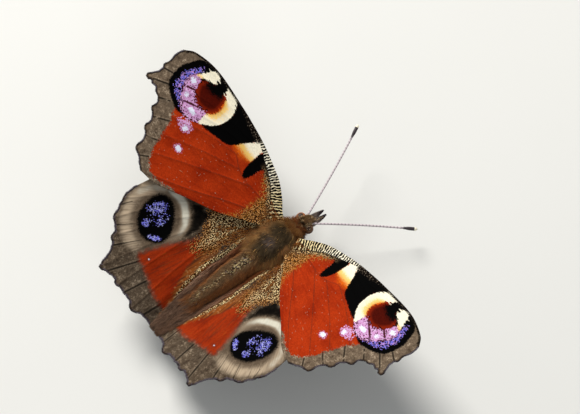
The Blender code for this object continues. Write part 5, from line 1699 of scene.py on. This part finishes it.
class BUTTERFLY_OT_mouth(bpy.types.Operator):
    """Make the two bristly palps and the coiled tongue"""

    bl_idname = "butterfly.mouth"
    bl_label = "Palps and tongue"

    def execute(self, context):
        body = context.scene.butterfly_body
        skin = finish_horn("palp_skin", body.palp, np.array(body.palp) * 0.4, 0.6)
        coat = finish_coat("palp_bristles", 0.55)
        for word, side in SIDES.items():
            self.palp(word, side, body, skin, coat)
        self.tongue(finish_horn("tongue_horn", TONGUE, TONGUE_DARK, 0.3))
        return {"FINISHED"}

    def palp(self, word, side, body, skin, coat):
        """A pointed feeler, thickest before its middle, with bristles that lie forward and stand up on its ridge."""
        t = np.linspace(0, 1, 60)
        radius = PALP_RADIUS * (0.75 + 0.25 * np.sin(np.pi * t)) * np.sqrt(np.clip(1 - t**3, 0.004, 1))
        rise = math.sin(PALP_RISE) * t + 0.12 * t**2
        path = turned(mirrored(PALP_ROOT, side) + PALP_LENGTH * np.stack([0 * t, t, rise], axis=1))
        points, faces = tube(path, radius, 24)
        add_piece(f"palp_{word}_skin", points, faces, [skin], (f"palp_{word}",))
        draw = np.random.default_rng(SEEDS["palp"] + side)
        count = 2400
        share, turn, _, roots, normal, ahead, root_map = bar_roots(
            path, radius, draw, count, (0.02, 0.97), 0.02, (0.0, 0.0, 1.0)
        )
        ridge = smoothstep(np.sin(turn), 0.3, 1.0)
        lengths = draw.uniform(0.3, 0.66, count) * (1.2 + 0.5 * ridge) * (1 - 0.84 * share)
        streak = np.sin(3 * turn + 4 * share + side) > 0.35
        pale = (draw.uniform(0, 1, count) < 0.75 * (1 - share)) & streak
        grey = blend(np.array(body.palp), np.array(PALP_TIP), smoothstep(share, 0.35, 0.85))
        hues = np.where(pale[:, None], np.array(body.rim) * 0.75, grey) * draw.uniform(0.5, 1.3, (count, 1))
        add_coat(
            f"palp_{word}_bristles", roots, normal, ahead + normal * 0.1, lengths, TUFT["palp"], hues, root_map,
            coat, "palp", rise=(0.3 + 0.35 * ridge) * (1.2 - 0.7 * share), rings=2, sunk=0.05,
        )

    def tongue(self, finish):
        """A flat coil under the face: the radius falls evenly over three turns, from the mouth inward."""
        turn = np.linspace(0.6 * np.pi, -5.6 * np.pi, 420)
        share = (turn[0] - turn) / (turn[0] - turn[-1])
        radius = 0.92 - 0.72 * share
        path = np.stack([0 * turn, radius * np.cos(turn), radius * np.sin(turn)], axis=1) + PROBOSCIS_CENTRE
        wire = 0.115 * (1 - 0.45 * share) * np.sqrt(np.clip((1 - share) * 12 + 0.05, 0, 1))
        points, faces = tube(turned(path), wire, 14)
        add_piece("tongue_coiled", points, faces, [finish], ("proboscis",))


class BUTTERFLY_OT_feelers(bpy.types.Operator):
    """Make the ringed feelers with their clubs"""

    bl_idname = "butterfly.feelers"
    bl_label = "Feelers"

    def execute(self, context):
        finish = finish_antenna(context.scene.butterfly_body, context.scene.butterfly_wings)
        for word, side in SIDES.items():
            self.make(word, side, finish)
        return {"FINISHED"}

    def make(self, word, side, finish):
        """A shaft in segments, each swelling a little forward, then a club that rises to its full width in a smooth
        step and closes in a blunt tip."""
        length, sides = ANTENNA_LENGTH, 14
        walk = np.linspace(0, length, 520)
        t = walk / length
        club = smoothstep(walk, length - CLUB_LENGTH, length - 0.45 * CLUB_LENGTH)
        bead = 1 + 0.1 * np.sin(2 * np.pi * walk / SEGMENT) * (1 - club)
        radius = (0.155 + 0.13 * club) * bead * np.sqrt(np.clip((length - walk) / 0.3, 0.0, 1) * 0.999 + 0.001)
        rise, spread = ANTENNA_RISE[word], (math.sin(ANTENNA_SPREAD), math.cos(ANTENNA_SPREAD))
        ahead = mirrored((spread[0] * math.cos(rise), spread[1] * math.cos(rise), math.sin(rise)), side)
        out = mirrored((spread[1], -spread[0], 0.0), side)
        path = mirrored(ANTENNA_ROOT, side) + (walk - 0.25 * (1 - t))[:, None] * ahead
        path = turned(path - (ANTENNA_BEND * 4 * t * (1 - t))[:, None] * out)
        points, faces = tube(path, radius, sides)
        maps = {"shaft": tube_map(path, sides)}
        add_piece(f"feeler_{word}", points, faces, [finish], (f"antenna_{word}",), maps=maps)


class BUTTERFLY_OT_legs(bpy.types.Operator):
    """Make the four walking legs and the two folded brush feet, with spines and hair"""

    bl_idname = "butterfly.legs"
    bl_label = "Legs"

    def execute(self, context):
        body = context.scene.butterfly_body
        horn = finish_horn("leg_horn", body.limb, np.array(body.limb) * 0.35, 0.45)
        coat = finish_coat("leg_hair", 0.6)
        for word, side in SIDES.items():
            for name, (*upper, heel, toe) in (("midleg", MIDLEG), ("hindleg", HINDLEG)):
                joints = (*upper, (*heel, SOLE), (*toe, SOLE))
                tip = self.limb(f"{name}_{word}", side, joints, (0.36, 0.3, 0.2, 0.14, 0.1), horn, coat, body)
                self.claws(f"{name}_{word}", *tip, horn)
            self.limb(f"foreleg_{word}", side, FORELEG, (0.24, 0.24, 0.2, 0.12), horn, coat, body)
        return {"FINISHED"}

    def limb(self, node, side, joints, radii, horn, coat, body):
        """A jointed limb: rounded bends at the joints, each length fullest near its upper end, and five short rings
        in its last length. Spines and hair point down the limb. Gives the toe and its direction."""
        folded = node.startswith("foreleg")
        joints = np.array([mirrored(joint, side) for joint in joints])
        lengths = walked(joints)
        share = np.linspace(0, 1, 260)
        path = along(smooth_curve(joints, 0.05) if folded else self.bent(joints), share)
        walk = share * lengths[-1]
        radius = np.interp(walk, lengths, radii)
        for joint in lengths[1:-1]:
            radius = radius * (1 - 0.22 * np.exp(-(((walk - joint) / 0.16) ** 2)))
        foot = smoothstep(walk, lengths[-2] + 0.1, lengths[-2] + 0.2)
        ring = np.mod((walk - lengths[-2]) / (lengths[-1] - lengths[-2]) * 5, 1)
        radius = radius * (1 - 0.25 * foot * np.exp(-((np.minimum(ring, 1 - ring) / 0.12) ** 2)))
        radius[-4:] *= np.array([0.9, 0.75, 0.5, 0.2])
        self.horny(f"{node}_horn", path, radius, 18, horn, (node,))
        draw = np.random.default_rng(sum(map(ord, node)))
        count = 900
        place, _, middle, roots, normal, ahead, root_map = bar_roots(
            path, radius, draw, count, (0.03, 0.97), 0.01, (0.02, 0.03, 1.0)
        )
        spine = (draw.uniform(0, 1, count) < 0.12) & (place > 0.35)
        brush = 1.7 if folded else 1.0
        hair = np.where(spine, 0.38, draw.uniform(0.14, 0.32, count) * brush * (1.3 - 0.7 * place))
        rise = np.where(spine, 0.7, 0.22 * brush)
        hues = np.where(spine[:, None], np.array(SPINE), np.array(body.limb)) * draw.uniform(0.6, 1.5, (count, 1))
        off_floor = (middle[:, 2] > FLOOR + 0.75) | (normal[:, 2] > 0.2)
        roots, normal, ahead, hair, hues, root_map, rise = (
            array[off_floor] for array in (roots, normal, ahead, hair, hues, root_map, rise)
        )
        add_coat(
            f"{node}_hair", roots, normal, ahead, hair, TUFT["leg"], hues, root_map, coat, "leg", rise=rise,
            rings=2, sunk=0.04,
        )
        return path[-1], unit(path[-1] - path[-12])

    def horny(self, name, path, radius, sides, horn, nodes=()):
        """A horny bar, flattened where it would go through the floor."""
        points, faces = tube(path, radius, sides)
        points[:, 2] = np.maximum(points[:, 2], FLOOR + 0.002)
        add_piece(name, points, faces, [horn], nodes)

    def bent(self, joints):
        """Straight lengths with a short round bend at each joint: the joint is cut off by a parabola."""
        t = np.linspace(0, 1, 9)[:, None]
        bends = []
        for before, joint, after in zip(joints, joints[1:], joints[2:]):
            start, end = (joint + unit(other - joint) * 0.3 for other in (before, after))
            bends.append((1 - t) ** 2 * start + 2 * t * (1 - t) * joint + t**2 * end)
        return np.vstack([joints[:1], *bends, joints[-1:]])

    def claws(self, node, toe, ahead, horn):
        """Two hooked claws at the toe."""
        aside = unit(np.cross(ahead, (0.0, 0.0, 1.0)))
        t = np.linspace(0, 1, 12)[:, None]
        hook = toe + ahead * (0.3 * t - 0.05) + (0.06 * np.sin(np.pi * t) - 0.08 * t) * (0.0, 0.0, 1.0)
        for number, way_out in enumerate((-1, 1)):
            path = hook + aside * way_out * (0.05 + 0.16 * t)
            self.horny(f"{node}_claw_{number}", path, 0.035 * (1.02 - t[:, 0]) ** 0.7, 8, horn)


class BUTTERFLY_OT_stage(bpy.types.Operator):
    """Make the floor, the lights and the photograph's camera"""

    bl_idname = "butterfly.stage"
    bl_label = "Stage"

    def execute(self, context):
        stage = context.scene.butterfly_stage
        self.floor(stage)
        self.lights(context, stage)
        self.camera(context)
        return {"FINISHED"}

    def floor(self, stage):
        mesh = bpy.data.meshes.new("floor")
        mesh.from_pydata([(-3, -3, 0), (3, -3, 0), (3, 3, 0), (-3, 3, 0)], [], [(0, 1, 2, 3)])
        f = Finish("floor_paint", 0.8)
        mesh.materials.append(f.done(f.dim(stage.floor, 0.97 + f.noise(f.place(), 0.02, 3.0) * 0.05)))
        obj = self.stand("floor", mesh, np.eye(3), (0.0, 0.0, 0.0))

    def lights(self, context, stage):
        """A broad key light from the butterfly's left, a weaker fill from its right, and an even sky."""
        self.panel("key_light", (-0.46, 0.10, 0.50), 0.34, 7.0 * stage.key_power, (1.0, 0.975, 0.94))
        self.panel("fill_light", (0.5, -0.25, 0.5), 0.6, 7.0 * stage.fill_power, (0.95, 0.97, 1.0))
        world = context.scene.world or bpy.data.worlds.new("studio")
        context.scene.world = world
        world.use_nodes = True
        background = world.node_tree.nodes["Background"]
        background.inputs["Color"].default_value = (0.95, 0.98, 1.0, 1.0)
        background.inputs["Strength"].default_value = stage.sky
        context.scene.view_settings.view_transform = "Standard"

    def panel(self, name, place, size, power, colour):
        """A round light that faces the origin."""
        settings = {"shape": "DISK", "size": size, "energy": power, "color": colour}
        backward = unit(np.array(place))
        across = unit(np.cross((0.0, 0.0, 1.0), backward))
        axes = np.stack([across, np.cross(backward, across), backward], axis=1)
        self.stand(name, assign(bpy.data.lights.new(name, "AREA"), settings), axes, place)

    def camera(self, context):
        """The photograph's view: turned about the butterfly's length, tipped, then rolled in the frame."""
        turns = ((CAMERA_ROLL, "Z"), (CAMERA_TIP, "X"), (-CAMERA_SWING, "Y"))
        roll, tip, swing = (Matrix.Rotation(angle, 3, axis) for angle, axis in turns)
        axes = np.array(roll @ tip @ swing).T
        place = (PLACE - axes @ (*CAMERA_AIM, -CAMERA_DISTANCE)) * MM
        settings = {
            "sensor_fit": "HORIZONTAL", "sensor_width": SENSOR_WIDTH, "lens": CAMERA_LENS, "clip_start": 0.01,
            "clip_end": 20.0,
        }
        camera = assign(bpy.data.cameras.new("camera"), settings)
        context.scene.camera = self.stand("camera", camera, axes, place)

    def stand(self, name, data, axes, place):
        """An object at a place, its own axes the columns of a square of numbers."""
        obj = bpy.data.objects.new(name, data)
        obj.matrix_world = Matrix([[*row, along_axis] for row, along_axis in zip(axes, place)] + [[0, 0, 0, 1]])
        bpy.context.scene.collection.objects.link(obj)
        return obj


OPERATORS = (
    BUTTERFLY_OT_stage,
    BUTTERFLY_OT_wings,
    BUTTERFLY_OT_fringes,
    BUTTERFLY_OT_wing_hair,
    BUTTERFLY_OT_body,
    BUTTERFLY_OT_coat,
    BUTTERFLY_OT_eyes,
    BUTTERFLY_OT_mouth,
    BUTTERFLY_OT_feelers,
    BUTTERFLY_OT_legs,
)
SETTINGS = {"butterfly_wings": WingSettings, "butterfly_body": BodySettings, "butterfly_stage": StageSettings}


class BUTTERFLY_PT_panel(bpy.types.Panel):
    """Lists the butterfly's pieces and settings in the sidebar"""

    bl_label = "Butterfly"
    bl_idname = "BUTTERFLY_PT_panel"
    bl_space_type = "VIEW_3D"
    bl_region_type = "UI"
    bl_category = "Butterfly"

    def draw(self, context):
        for operator in OPERATORS:
            self.layout.operator(operator.bl_idname)
        for key, group in SETTINGS.items():
            box = self.layout.box()
            for name in group.__annotations__:
                box.prop(getattr(context.scene, key), name)


def register():
    for item in (*SETTINGS.values(), *OPERATORS, BUTTERFLY_PT_panel):
        bpy.utils.register_class(item)
    for key, group in SETTINGS.items():
        setattr(bpy.types.Scene, key, bpy.props.PointerProperty(type=group))


def unregister():
    for key in SETTINGS:
        delattr(bpy.types.Scene, key)
    for item in reversed((*SETTINGS.values(), *OPERATORS, BUTTERFLY_PT_panel)):
        bpy.utils.unregister_class(item)


def main():
    register()
    for operator in OPERATORS:
        group, name = operator.bl_idname.split(".")
        getattr(getattr(bpy.ops, group), name)()


if __name__ == "__main__":
    main()
